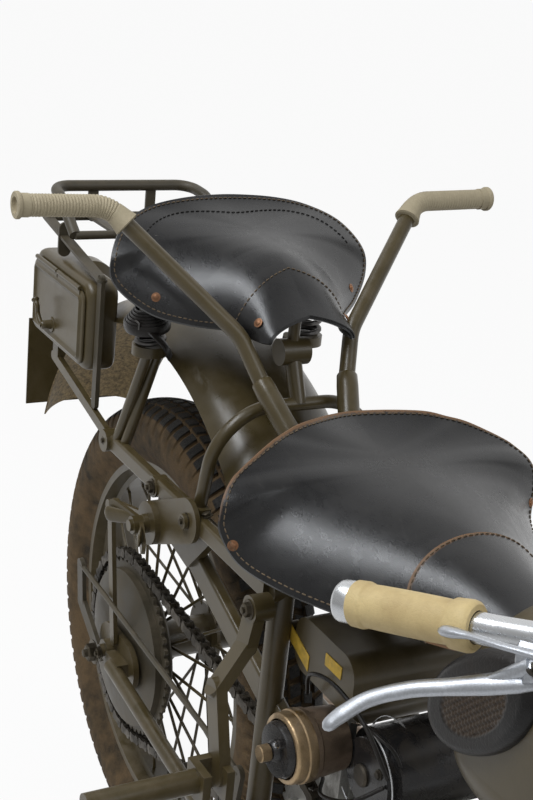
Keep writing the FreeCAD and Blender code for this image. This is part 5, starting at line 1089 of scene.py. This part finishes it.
class MOTORCYCLE_OT_chain(bpy.types.Operator):
    """The roller chain, link by link"""
    bl_idname = "motorcycle.chain"
    bl_label = "Chain"

    def execute(self, context):
        pins = belt_line()
        shape = Shape()
        for number, (start, end) in enumerate(zip(pins, np.roll(pins, -1, 0))):
            ahead = unit(end - start) * LINK_HALF_HEIGHT
            over = np.array([-ahead[1], ahead[0]])
            top = [LINK_END[:, :1] * way + LINK_END[:, 1:] * over for way in (ahead, -ahead)]
            low = [LINK_END[:, :1] * way - LINK_END[:, 1:] * over for way in (-ahead, ahead)]
            ring = np.concatenate([start + top[0], end + top[1][::-1],
                                   end + low[0][1:], start + low[1][:0:-1]])
            plates = OUTER_PLATES if number % 2 else INNER_PLATES
            for side in SIDES:
                shape.sheet([np.insert(ring, 1, CHAIN_Y + side * place, axis=1) for place in plates])
            place = (start[0], CHAIN_Y, start[1])
            shape.turn(place, (0, 1, 0), [
                (-PIN_HALF, 0), (-PIN_HALF, PIN_RADIUS), (PIN_HALF, PIN_RADIUS), (PIN_HALF, 0)], 8)
            shape.turn(place, (0, 1, 0), [(-ROLLER_HALF, ROLLER_RADIUS), (ROLLER_HALF, ROLLER_RADIUS)], 10)
        made = shape.object("roller_chain", "chain_steel", "chassis", "chain_steel")
        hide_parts("drive_chain")
        return {"FINISHED"}


# ---- Pillion bar and levers


def rounded_ring(half_u, half_v, corner, inset=0, count=9):
    """A rounded rectangle drawn in by an inset, as a closed line."""
    half_u, half_v = half_u - inset, half_v - inset
    corner = min(max(corner - inset, min(1.0, corner)), half_u, half_v)
    arc = corner * circle(np.linspace(0, math.pi / 2, count), np.array([1, 0]), np.array([0, 1]))
    quarters = []
    for turn, (u, v) in enumerate(((1, 1), (-1, 1), (-1, -1), (1, -1))):
        cosine, sine = math.cos(turn * math.pi / 2), math.sin(turn * math.pi / 2)
        quarters.append(arc @ np.array([[cosine, sine], [-sine, cosine]])
                        + [u * (half_u - corner), v * (half_v - corner)])
    return np.concatenate(quarters)


def panel(shape, centre, along, half_u, half_v, corner, profile):
    """Upright rounded rectangles: the profile pairs an inset with a height outward."""
    out = np.cross(along, (0, 0, 1))
    rings = []
    for inset, height in profile:
        ring = rounded_ring(half_u, half_v, corner, inset)
        rings.append(np.array(centre) + ring[:, :1] * along + ring[:, 1:] * [0, 0, 1] + out * height)
    shape.sheet(rings)


class MotorcycleBarSizes(bpy.types.PropertyGroup):
    """Tubes and levers."""
    tube: metres("Pillion tube", "Radius of the pillion handlebar's tube", 0.0096)
    lever: metres("Lever", "Half the width of the long levers", 0.0072)


class MOTORCYCLE_OT_pillion_bar(bpy.types.Operator):
    """The pillion handlebar with its sleeves and the clamp on the frame"""
    bl_idname = "motorcycle.pillion_bar"
    bl_label = "Pillion Handlebar"

    def execute(self, context):
        radius = context.scene.motorcycle_bar.tube * 1000
        shape = Shape()
        for side in SIDES:
            foot, collar, bend, knee, tip = (sided(point, side) for point in (
                (372, 16, 716), (266, 57, 825), (239, 73, 870), (147, 205, 1001), (150, 306, 1004)))
            low = rounded_corner(collar, bend, (bend + knee) / 2, 60, 16)
            high = rounded_corner((bend + knee) / 2, knee, tip, 38, 16)
            path = even(np.vstack([foot, low, high[1:]]), 90)
            shape.bar(path, radius, 24)
            reach = np.linalg.norm(collar - foot)
            shape.turn(foot, collar - foot, [
                (0, 0), (0, radius + 3.2), (reach - 16, radius + 3.2), (reach - 2, radius + 2.6),
                (reach, radius + 1.4), (reach + 1, radius - 0.5)], 28)
            for x, z in ((356, 710), (384, 702)):
                bolt(shape, (x, side * 34, z), (0, side, 0), 6.5, 5, stud=3)
        panel(shape, (372, -34, 710), (1, 0, 0), 20, 20, 6, [(1.5, 0), (0, 1.5), (0, -66.5), (1.5, -68)])
        made = shape.object("pillion_bar_tubes", "olive_paint", "chassis", "olive_paint")
        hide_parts("pillion_handlebar")
        return {"FINISHED"}


class MOTORCYCLE_OT_levers(bpy.types.Operator):
    """The forged brake and clutch levers, their brackets and the small control levers"""
    bl_idname = "motorcycle.levers"
    bl_label = "Levers"

    def execute(self, context):
        wide = context.scene.motorcycle_bar.lever * 1000
        shape, dark = Shape(), Shape()
        for side in SIDES:
            blade = sided_path(((884, 331, 813), (886, 319, 823), (893, 303, 836), (911, 284, 850),
                                (934, 266, 862), (951, 253, 871), (964, 241, 878), (973, 232, 882)), side, 80)
            radius = wide * np.interp(np.linspace(0, 1, 80), [0, 0.012, 0.03, 0.1, 0.3, 0.6, 0.8, 0.92, 1.0],
                                      [0.2, 0.62, 0.8, 0.92, 0.88, 0.92, 1.15, 1.2, 0.9])
            shape.bar(blade, radius, 20, flat=0.72)
            web = sided_path(((945, 258, 868), (957, 247, 879), (968, 236, 890)), side, 20)
            shape.bar(web, np.linspace(3.5, 6.5, 20), 14)
            run = sided((106, -46.5, 25), side)
            shape.turn(sided((962, 221, 890), side) - unit(run) * 13, run, [
                (0, 10.8), (0, 14), (1.5, 15.6), (24.5, 15.6), (26, 14), (26, 10.8)], 36)
            arm = sided_path(((966, 229, 884), (969, 233, 886), (974, 236, 880)), side, 16)
            shape.bar(arm, np.linspace(9.5, 8, 16), 16)
            bolt(dark, (974, side * 235, 890), (0.1, 0, 1), 5, 4)
            small = sided_path(((906, 262, 889), (916, 262, 892), (936, 260, 899), (962, 257, 906),
                                (984, 250, 911), (997, 238, 912), (1000, 224, 911)), side, 60)
            radius = np.interp(np.linspace(0, 1, 60), [0, 0.015, 0.05, 0.12, 0.25, 0.6, 1.0],
                               [1.0, 4.5, 6.2, 6.0, 3.6, 3.8, 5.0])
            shape.bar(small, radius, 16, flat=0.62)
            shape.turn((1004, side * 214, 906), (0, 0, 1), [
                (-12, 0), (-12, 8), (-9, 10), (3, 10.5), (6, 12), (10, 12), (12, 10), (12, 5), (13.5, 4.5),
                (13.5, 0)])
        made = shape.object("lever_blades", "cast_aluminium", "steering", "chrome")
        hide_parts("bar_levers")
        dark.object("lever_pivots", "chain_steel", "steering", "chrome")
        return {"FINISHED"}


# ---- Tool boxes and lids


BOX_MIDDLE, BOX_HALF_LONG, BOX_HALF_HIGH, BOX_CORNER = (-204, 0, 776), 107, 63, 22
LID_MIDDLE, LID_HALF_LONG, LID_HALF_HIGH, LID_CORNER = (-204, 0, 773.5), 99, 51.5, 15
HINGE_Y, HINGE_Z, HINGE_RADIUS = 129.3, 828, 3.3


class MOTORCYCLE_OT_tool_boxes(bpy.types.Operator):
    """The pressed tool boxes with beaded lids, hinges and crank catches"""
    bl_idname = "motorcycle.tool_boxes"
    bl_label = "Tool Boxes"

    def execute(self, context):
        for side, name in ((-1, "right"), (1, "left")):
            along, out = np.array([-side, 0, 0.0]), np.array([0, side, 0.0])
            shape = Shape()
            panel(shape, BOX_MIDDLE, along, BOX_HALF_LONG, BOX_HALF_HIGH, BOX_CORNER, [
                (9, 80), (3.5, 81.2), (0.8, 84), (0, 88), (0, 111), (0.8, 116), (3, 120.5), (7, 123.4),
                (10, 124), (14, 124), (14, 86), (50, 85)])
            for x, lean in ((-296, -0.35), (-112, 0.35)):
                for z in (726, 826):
                    rivet(shape, (x, side * 118.5, z), unit(np.array([lean, side, 0.2])), 3.6)
            box = shape.object(f"tool_box_{name}_shell", "olive_paint", "chassis", "olive_paint")
            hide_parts(f"tool_box_{name}")
            lid = Shape()
            panel(lid, LID_MIDDLE, along, LID_HALF_LONG, LID_HALF_HIGH, LID_CORNER, [
                (12, 124.6), (0.8, 124.6), (0, 126), (0.4, 127.8), (2, 128.8), (4, 128.8), (5.5, 129.4),
                (7, 131.2), (9, 132), (11, 131.2), (12.5, 129.2), (15, 128.5), (20, 128.4), (46, 128.4)])
            for first, last in ((-290, -206), (-202, -118)):
                reach = last - first
                lid.turn((first, side * HINGE_Y, HINGE_Z), (1, 0, 0), [
                    (0, 0), (0, 2.6), (0.6, HINGE_RADIUS), (reach - 0.6, HINGE_RADIUS), (reach, 2.6),
                    (reach, 0)], 16)
                lid.sheet([[(x, side * y, z) for y, z in (
                    (125.2, 827), (HINGE_Y, 827), (130.2, 824), (130.0, 812), (128.6, 812), (125.2, 812))]
                    for x in (first, last)])
            boss = np.array([-222, side * 128.4, 746.0])
            lid.turn(boss, out, [(0, 11), (1.6, 10.6), (2, 7), (9, 6.2), (14, 6.4), (16, 5), (16.4, 0)], 24)
            crank = smooth_path([boss + (x, side * y, z) for x, y, z in (
                (0, 13, 0), (-7, 15, 3), (-15, 16, 14), (-15, 17, 24), (-24, 18, 33))], 46)
            radius = np.interp(np.linspace(0, 1, 46), [0, 0.1, 0.5, 0.86, 0.9, 0.95, 0.985, 1.0],
                               [5, 4, 3.3, 3.5, 5.2, 5.8, 4.4, 0.8])
            lid.bar(crank, radius, 14)
            made = lid.object(f"box_lid_{name}_pressed", "olive_paint", f"lid_{name}", "olive_paint")
            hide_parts(f"box_lid_{name}")
        return {"FINISHED"}


# ---- Coupling, dynamo and fittings


DISC_BOLTS, DISC_BOLT_ANGLE = 21.5, 0.9
BAND_WIRE = 0.9
SCREW_SHARE, SCREW_ANGLES = 0.66, np.array([0.6, 2.7, 4.8])


class MOTORCYCLE_OT_coupling(bpy.types.Operator):
    """The brass coupling ring with its black disc and bolts, and the dynamo's bands"""
    bl_idname = "motorcycle.coupling"
    bl_label = "Coupling and Dynamo"

    def execute(self, context):
        self.coupling()
        self.dynamo()
        return {"FINISHED"}

    def coupling(self):
        centre, out = np.array([522, 0, 520.0]), (0, -1, 0)
        for name, finish, outline, sides in (
                ("barrel", "exhaust_steel", [
                    (70, 0), (70, 34), (84, 35), (92, 36), (104, 36), (106, 38), (120, 38), (122, 37.4),
                    (122.6, 30), (122.6, 0)], 72),
                ("ring", "brass", [
                    (111, 25), (111, 37.8), (113, 38.8), (121, 38.8), (122.4, 37.4), (132, 37.2), (134, 36.4),
                    (135, 35), (135, 31.4), (128, 30.6), (126, 25)], 72),
                ("disc", "black_metal", [
                    (100, 0), (100, 29.5), (139, 29.5), (141, 28), (143, 27.6), (143, 12), (146, 10.6),
                    (148, 9), (148, 0)], 60),
                ("stud", "brass", [(150, 5), (150, 9), (160, 9), (161, 8), (161, 0)], 32)):
            shape = Shape().turn(centre, out, outline, sides)
            if name == "disc":
                for turn in (DISC_BOLT_ANGLE, DISC_BOLT_ANGLE + TAU / 2):
                    spot = centre + (DISC_BOLTS * math.cos(turn), -142, DISC_BOLTS * math.sin(turn))
                    bolt(shape, spot, out, 4.6, 5, stud=2)
            shape.object(f"coupling_{name}", finish, "chassis", "brass")
        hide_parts("side_coupling")

    def dynamo(self):
        """Bright bands round the dynamo, and a cap and screws on its end."""
        low, high = node_box("dynamo")
        middle = np.array([(low[0] + high[0]) / 2, 0, (low[2] + high[2]) / 2])
        radius = (high[2] - low[2]) / 2
        east, up = np.array([1.0, 0, 0]), np.array([0, 0, 1.0])
        bright, ends = Shape(), Shape()
        band = middle + radius * circle(np.linspace(0, TAU, 72, endpoint=False), east, up)
        for y in (low[1] + 2.5, low[1] + 40):
            bright.ring(band + (0, y, 0), BAND_WIRE, 8)
        bright.object("dynamo_bands", "chrome", "chassis", "black_metal")
        face = middle + (0, low[1], 0)
        ends.turn(face, (0, -1, 0), [(-1, 0), (-1, 12), (2, 12), (4, 10), (4, 0)], 36)
        for spot in face + radius * SCREW_SHARE * circle(SCREW_ANGLES, east, up):
            bolt(ends, spot, (0, -1, 0), 3.6, 3)
        ends.object("dynamo_end_screws", "chain_steel", "chassis", "black_metal")


class MOTORCYCLE_OT_fittings(bpy.types.Operator):
    """Bolts, nuts, wing nuts, blank labels, strap, pipes and the adjuster"""
    bl_idname = "motorcycle.fittings"
    bl_label = "Fittings"

    def execute(self, context):
        self.bolts()
        self.wing_nuts()
        self.labels()
        self.strap()
        self.pipes()
        self.lamps()
        return {"FINISHED"}

    def bolts(self):
        shape, bright = Shape(), Shape()
        for side in SIDES:
            out = (0, side, 0)
            for x, y, z, size in (
                    (150, 132, 606, 7.5), (243, 125, 650, 6.5), (25, 124, 560, 6), (18, 126, 350, 6),
                    (135, 121, 647, 6.5), (-22, 118, 647, 6), (440, 142, 640, 7), (455, 98, 490, 6.5),
                    (425, 100, 648, 6)):
                bolt(shape, (x, side * y, z), out, size, size * 0.85, stud=2.5)
            bolt(shape, (0, side * 128, 342), out, 11, 10, stud=5)
            bolt(shape, (470, side * 132, 205), out, 7, 6, stud=2)
            bolt(bright, (1455, side * 119, 330), out, 9.5, 8, stud=4)
        bolt(shape, (258, -106, 660), (-0.2, -0.3, 1), 5, 4)
        shape.object("frame_bolts", "dark_steel", "chassis", "olive_paint")
        bright.object("front_axle_nuts", "dark_steel", "steering", "olive_paint")

    def wing_nuts(self):
        """Two curved lobes on a boss: sections of a flattened bar along a bent line."""
        shape = Shape()
        for side in SIDES:
            boss = np.array([150, side * 131, 606.0])
            shape.turn(boss, (0, side, 0), [(0, 12), (7, 12), (9, 9.5), (16, 8.5), (18, 6), (18, 0)], 28)
            for sign in (-1, 1):
                path = smooth_path([boss + (x * sign, side * y, z * sign) for x, y, z in (
                    (0, 10, 0), (-15, 15, 2), (-34, 24, -2), (-54, 34, -6))], 24)
                radius = np.interp(np.linspace(0, 1, 24), [0, 0.25, 0.6, 0.88, 0.97, 1.0],
                                   [5, 7.5, 9.5, 10.5, 8, 2.5])
                flat_lobe = swept(path[:, [0, 2, 1]], radius, 16, 0.3)[..., [0, 2, 1]]
                shape.grid(flat_lobe, around=True, caps=True)
        shape.object("damper_wing_nuts", "olive_paint", "chassis", "olive_paint")

    def labels(self):
        shape = Shape()
        for x, half, z, high, tilt in ((452, 21, 598, 9, -16), (520, 16, 606, 7, 0)):
            shape.sheet([[(x - half, y, z + high), (x + half, y, z + high + tilt),
                          (x + half, y, z - high + tilt), (x - half, y, z - high)] for y in (-82.2, -82.9)])
        shape.object("blank_labels", "yellow_label", "chassis", "olive_paint", smooth=False)

    def strap(self):
        """A leather strap rolled up under the pillion saddle, with a wire buckle."""
        shape, wire = Shape(), Shape()
        turns, largest, step, rise = 6, 31, 2.6, 3.4
        centre = np.array([94, -124, 850.0])
        angles = np.linspace(0, TAU, 40, endpoint=False)
        for number in range(turns):
            size = largest - number * step
            tilt = 0.25 + 0.06 * number
            slant = np.array([0, 0.86 * math.cos(tilt), 0.5 * math.sin(tilt)])
            loop = centre + (0, 0, -6 + number * rise) + size * circle(angles, np.array([1, 0, 0]), slant)
            shape.ring(loop, 1.9, 10, flat=3.4)
        tail = smooth_path(centre + [(20, -8, -6), (34, -4, -10), (44, 6, -22), (42, 14, -36)], 30)
        shape.bar(tail, 6.5, 10, flat=0.28)
        shape.object("rolled_strap", "black_rubber", "chassis", "leather")
        buckle = np.insert(rounded_ring(6, 4, 2, count=5), 1, 0, axis=1)
        wire.ring(centre + (16, -20, -2) + buckle, 1.2, 8)
        wire.object("strap_buckle", "spring_steel", "chassis", "leather")

    def pipes(self):
        """Fixed pipes and control cables, each on a smooth line between its ends."""
        dark, grey, bright = Shape(), Shape(), Shape()
        for points, radius in (
                (((492, -92, 560), (506, -100, 592), (548, -98, 604), (600, -92, 588), (640, -84, 548)), 2.4),
                (((520, -78, 470), (560, -104, 482), (600, -96, 500), (616, -70, 520)), 2.2),
                (((556, -108, 452), (560, -120, 430), (548, -124, 400), (520, -122, 372)), 5.0),
                (((560, -66, 560), (590, -70, 566), (612, -60, 556), (622, -50, 530)), 2.0)):
            dark.bar(smooth_path(points, 60), radius, 10)
        dark.object("control_cables", "black_rubber", "chassis", "black_rubber")
        grey.bar(smooth_path([(300, -117, 318), (380, -120, 305), (470, -124, 292)], 24), 3.2, 10)
        grey.object("brake_rod_front", "chain_steel", "chassis", "dark_paint")
        way = np.array([40, -8, -40.0])
        reach = np.linalg.norm(way)
        bright.turn((548, -128, 392), way, [
            (0, 0), (0, 3.4), (8, 3.6), (9, 6), (16, 6.4), (17, 7.2), (reach - 12, 7.6), (reach - 11, 6),
            (reach, 5.8), (reach, 0)], 20)
        bright.object("cable_adjuster", "cast_aluminium", "chassis", "chain_steel")

    def lamps(self):
        low, high = node_box("headlamp")
        x, z = high[0], (low[2] + high[2]) / 2
        glass, rim, red = Shape(), Shape(), Shape()
        glass.turn((x - 14, 0, z), (1, 0, 0), [
            (0, 79), (4, 78.4), (9, 68), (13, 48), (15.4, 26), (16.4, 0)], 64)
        glass.object("headlamp_glass", "lens", "steering", "olive_paint")
        rim.turn((x - 20, 0, z), (1, 0, 0), [
            (-8, 87), (-6, 87.6), (0, 87.6), (3, 87), (5, 84.5), (7, 80), (6, 78), (2, 77.5)], 72)
        rim.object("headlamp_rim", "chrome", "steering", "chrome")
        back, _ = node_box("number_plate_lamp")
        red.turn((back[0], 0, 745), (-1, 0, 0), [(-22, 40), (-14, 38), (-8, 33), (-2, 22), (0, 0)], 48)
        red.object("tail_lamp_glass", "red_lens", "chassis", "olive_paint")


# ---- Stage, light and camera

AWAY_FROM_CAMERA = (-0.7, 0.68, 0.2)
DARK_SIDE = 0.12
FLOOR_WHITE = 0.93
LAMP_COLOUR = (0.93, 0.96, 1.0)
CAMERA_PLACE = (0.8735, -0.7817, 1.3403)
CAMERA_ANGLES = (29.7497, 19.5806, 5.7462)
CAMERA_LENS = 62.149
FLOOR_REACH = 90.0


class MotorcycleStageSettings(bpy.types.PropertyGroup):
    """Floor and light of the studio."""
    floor_colour: bpy.props.FloatVectorProperty(
        name="Floor", description="Colour of the floor", subtype="COLOR", default=(0.82, 0.82, 0.82),
        min=0, max=1)
    sky: bpy.props.FloatProperty(
        name="Room light", description="Strength of the light from all round", default=0.38, min=0)
    key: bpy.props.FloatProperty(
        name="Main lamp", description="Power of the main lamp", default=55, min=0, unit="POWER")
    fill: bpy.props.FloatProperty(
        name="Second lamp", description="Power of the second lamp", default=22, min=0, unit="POWER")


def seen_white(nodes, low, high):
    """1 where the camera looks straight at the surface or through glass.

    In a mirror it is less and less round toward the camera's own side, where a studio is dark.
    """
    path = nodes.node("ShaderNodeLightPath").socket.node.outputs
    camera, glossy, through = (
        Value(nodes, path[f"Is {kind} Ray"]) for kind in ("Camera", "Glossy", "Transmission"))
    behind = nodes.dot(nodes.place(), AWAY_FROM_CAMERA)
    share = nodes.node("ShaderNodeMapRange", None, {
        "Value": behind, "From Min": low, "From Max": high, "To Min": DARK_SIDE})
    return nodes.maths("MAXIMUM", nodes.maths("MAXIMUM", camera, glossy * share), through)


def lamp(name, place, target, size, power):
    light = bpy.data.lights.new(name, "AREA")
    light.shape, light.size, light.size_y, light.energy = "RECTANGLE", *size, power
    light.color = LAMP_COLOUR
    made = placed(name, light)
    made.location = place
    made.rotation_euler = (Vector(target) - Vector(place)).to_track_quat("-Z", "Y").to_euler()


class MOTORCYCLE_OT_stage(bpy.types.Operator):
    """The pale floor, the studio lamps and the camera"""
    bl_idname = "motorcycle.stage"
    bl_label = "Stage"

    def execute(self, context):
        settings = context.scene.motorcycle_stage
        self.floor(settings)
        self.world(settings)
        lamp("key_lamp", (-0.4, -1.4, 2.88), (-0.2, 0, 0.8), (2.8, 0.5), settings.key)
        lamp("fill_lamp", (2.4, 1.0, 2.6), (-0.2, 0, 0.6), (1.6, 1.2), settings.fill)
        self.camera(context.scene)
        context.scene.view_settings.view_transform = "Standard"
        return {"FINISHED"}

    def floor(self, settings):
        """A wide flat sheet at the height of the ground, nearly white to the eye."""
        mesh = bpy.data.meshes.new("studio_floor")
        corners = np.array([(-1, -1, 0), (1, -1, 0), (1, 1, 0), (-1, 1, 0)]) * FLOOR_REACH
        mesh.from_pydata(corners.tolist(), [], [[0, 1, 2, 3]])
        material = bpy.data.materials.new("studio_floor")
        material.use_nodes = True
        nodes = Nodes(material.node_tree)
        nodes.tree.nodes.remove(nodes.tree.nodes["Principled BSDF"])
        mix = nodes.node("ShaderNodeMixShader", None, {
            0: seen_white(nodes, -0.6, 0.6) * FLOOR_WHITE,
            1: nodes.node("ShaderNodeBsdfDiffuse", None, {"Color": tuple(settings.floor_colour)}),
            2: nodes.node("ShaderNodeEmission")})
        nodes.join(nodes.tree.nodes["Material Output"].inputs["Surface"], mix)
        mesh.materials.append(material)
        floor = placed("studio_floor", mesh)

    def world(self, settings):
        """White to the eye, and a weaker light on the object from all round."""
        world = bpy.data.worlds.new("studio_room")
        world.use_nodes = True
        bpy.context.scene.world = world
        nodes = Nodes(world.node_tree)
        back = nodes.tree.nodes["Background"]
        nodes.join(back.inputs["Color"], (1, 1, 1))
        nodes.join(back.inputs["Strength"], nodes.node("ShaderNodeMapRange", None, {
            "Value": seen_white(nodes, 0.2, 0.75), "To Min": settings.sky}))

    def camera(self, scene):
        """Looks along the photograph's direction, from its place and with its slight roll."""
        yaw, pitch, roll = (math.radians(angle) for angle in CAMERA_ANGLES)
        ahead = Vector((-math.cos(yaw) * math.cos(pitch), math.sin(yaw) * math.cos(pitch), -math.sin(pitch)))
        level = ahead.cross(Vector((0, 0, 1))).normalized()
        rise = level.cross(ahead)
        right = level * math.cos(roll) + rise * math.sin(roll)
        up = rise * math.cos(roll) - level * math.sin(roll)
        data = bpy.data.cameras.new("photo_camera")
        data.lens = CAMERA_LENS
        camera = placed("photo_camera", data)
        turn = Matrix((right, up, -ahead)).transposed().to_4x4()
        camera.matrix_world = Matrix.Translation(CAMERA_PLACE) @ turn
        scene.camera = camera


class MOTORCYCLE_OT_finishes(bpy.types.Operator):
    """The finishes of all the solids"""
    bl_idname = "motorcycle.finishes"
    bl_label = "Finishes"

    def execute(self, context):
        make_finishes()
        slots = {part["node"]: part["material_slot"] for part in frame["record"]["subparts"]}
        slots["rear_mudguard"] = "guard_paint"
        for name, node in frame["nodes"].items():
            finish = slots[name]
            for holder in ([node] if node.type == "MESH" else node.children):
                if not holder.material_slots:
                    holder.data.materials.append(finishes[finish])
                for slot in holder.material_slots:
                    slot.material = finishes[finish]
        return {"FINISHED"}


# ---- Panel and running


SETTINGS = {
    "motorcycle_saddle": MotorcycleSaddleSizes,
    "motorcycle_tyre": MotorcycleTyreSizes,
    "motorcycle_grip": MotorcycleGripSizes,
    "motorcycle_bar": MotorcycleBarSizes,
    "motorcycle_stage": MotorcycleStageSettings,
}
STEPS = [MOTORCYCLE_OT_stage, MOTORCYCLE_OT_finishes, MOTORCYCLE_OT_saddles, MOTORCYCLE_OT_tyres,
         MOTORCYCLE_OT_grips, MOTORCYCLE_OT_knee_pads, MOTORCYCLE_OT_footrests, MOTORCYCLE_OT_springs,
         MOTORCYCLE_OT_chain, MOTORCYCLE_OT_pillion_bar, MOTORCYCLE_OT_levers, MOTORCYCLE_OT_tool_boxes,
         MOTORCYCLE_OT_coupling, MOTORCYCLE_OT_fittings]


class MOTORCYCLE_PT_parts(bpy.types.Panel):
    """Lists the motorcycle's pieces and their sizes."""
    bl_idname = "MOTORCYCLE_PT_parts"
    bl_label = "Motorcycle"
    bl_space_type = "VIEW_3D"
    bl_region_type = "UI"
    bl_category = "Motorcycle"

    def draw(self, context):
        for step in STEPS:
            self.layout.operator(step.bl_idname)
        for name, group in SETTINGS.items():
            settings = getattr(context.scene, name)
            for key in group.__annotations__:
                self.layout.prop(settings, key)


def register():
    for group in (*SETTINGS.values(), *STEPS, MOTORCYCLE_PT_parts):
        bpy.utils.register_class(group)
    for name, group in SETTINGS.items():
        setattr(bpy.types.Scene, name, bpy.props.PointerProperty(type=group))


def unregister():
    for name in SETTINGS:
        delattr(bpy.types.Scene, name)
    for group in (MOTORCYCLE_PT_parts, *reversed(STEPS), *SETTINGS.values()):
        bpy.utils.unregister_class(group)


def main():
    register()
    for step in STEPS:
        group, name = step.bl_idname.split(".")
        if getattr(getattr(bpy.ops, group), name)() != {"FINISHED"}:
            raise RuntimeError(f"{step.bl_label} did not finish")


if __name__ == "__main__":
    main()
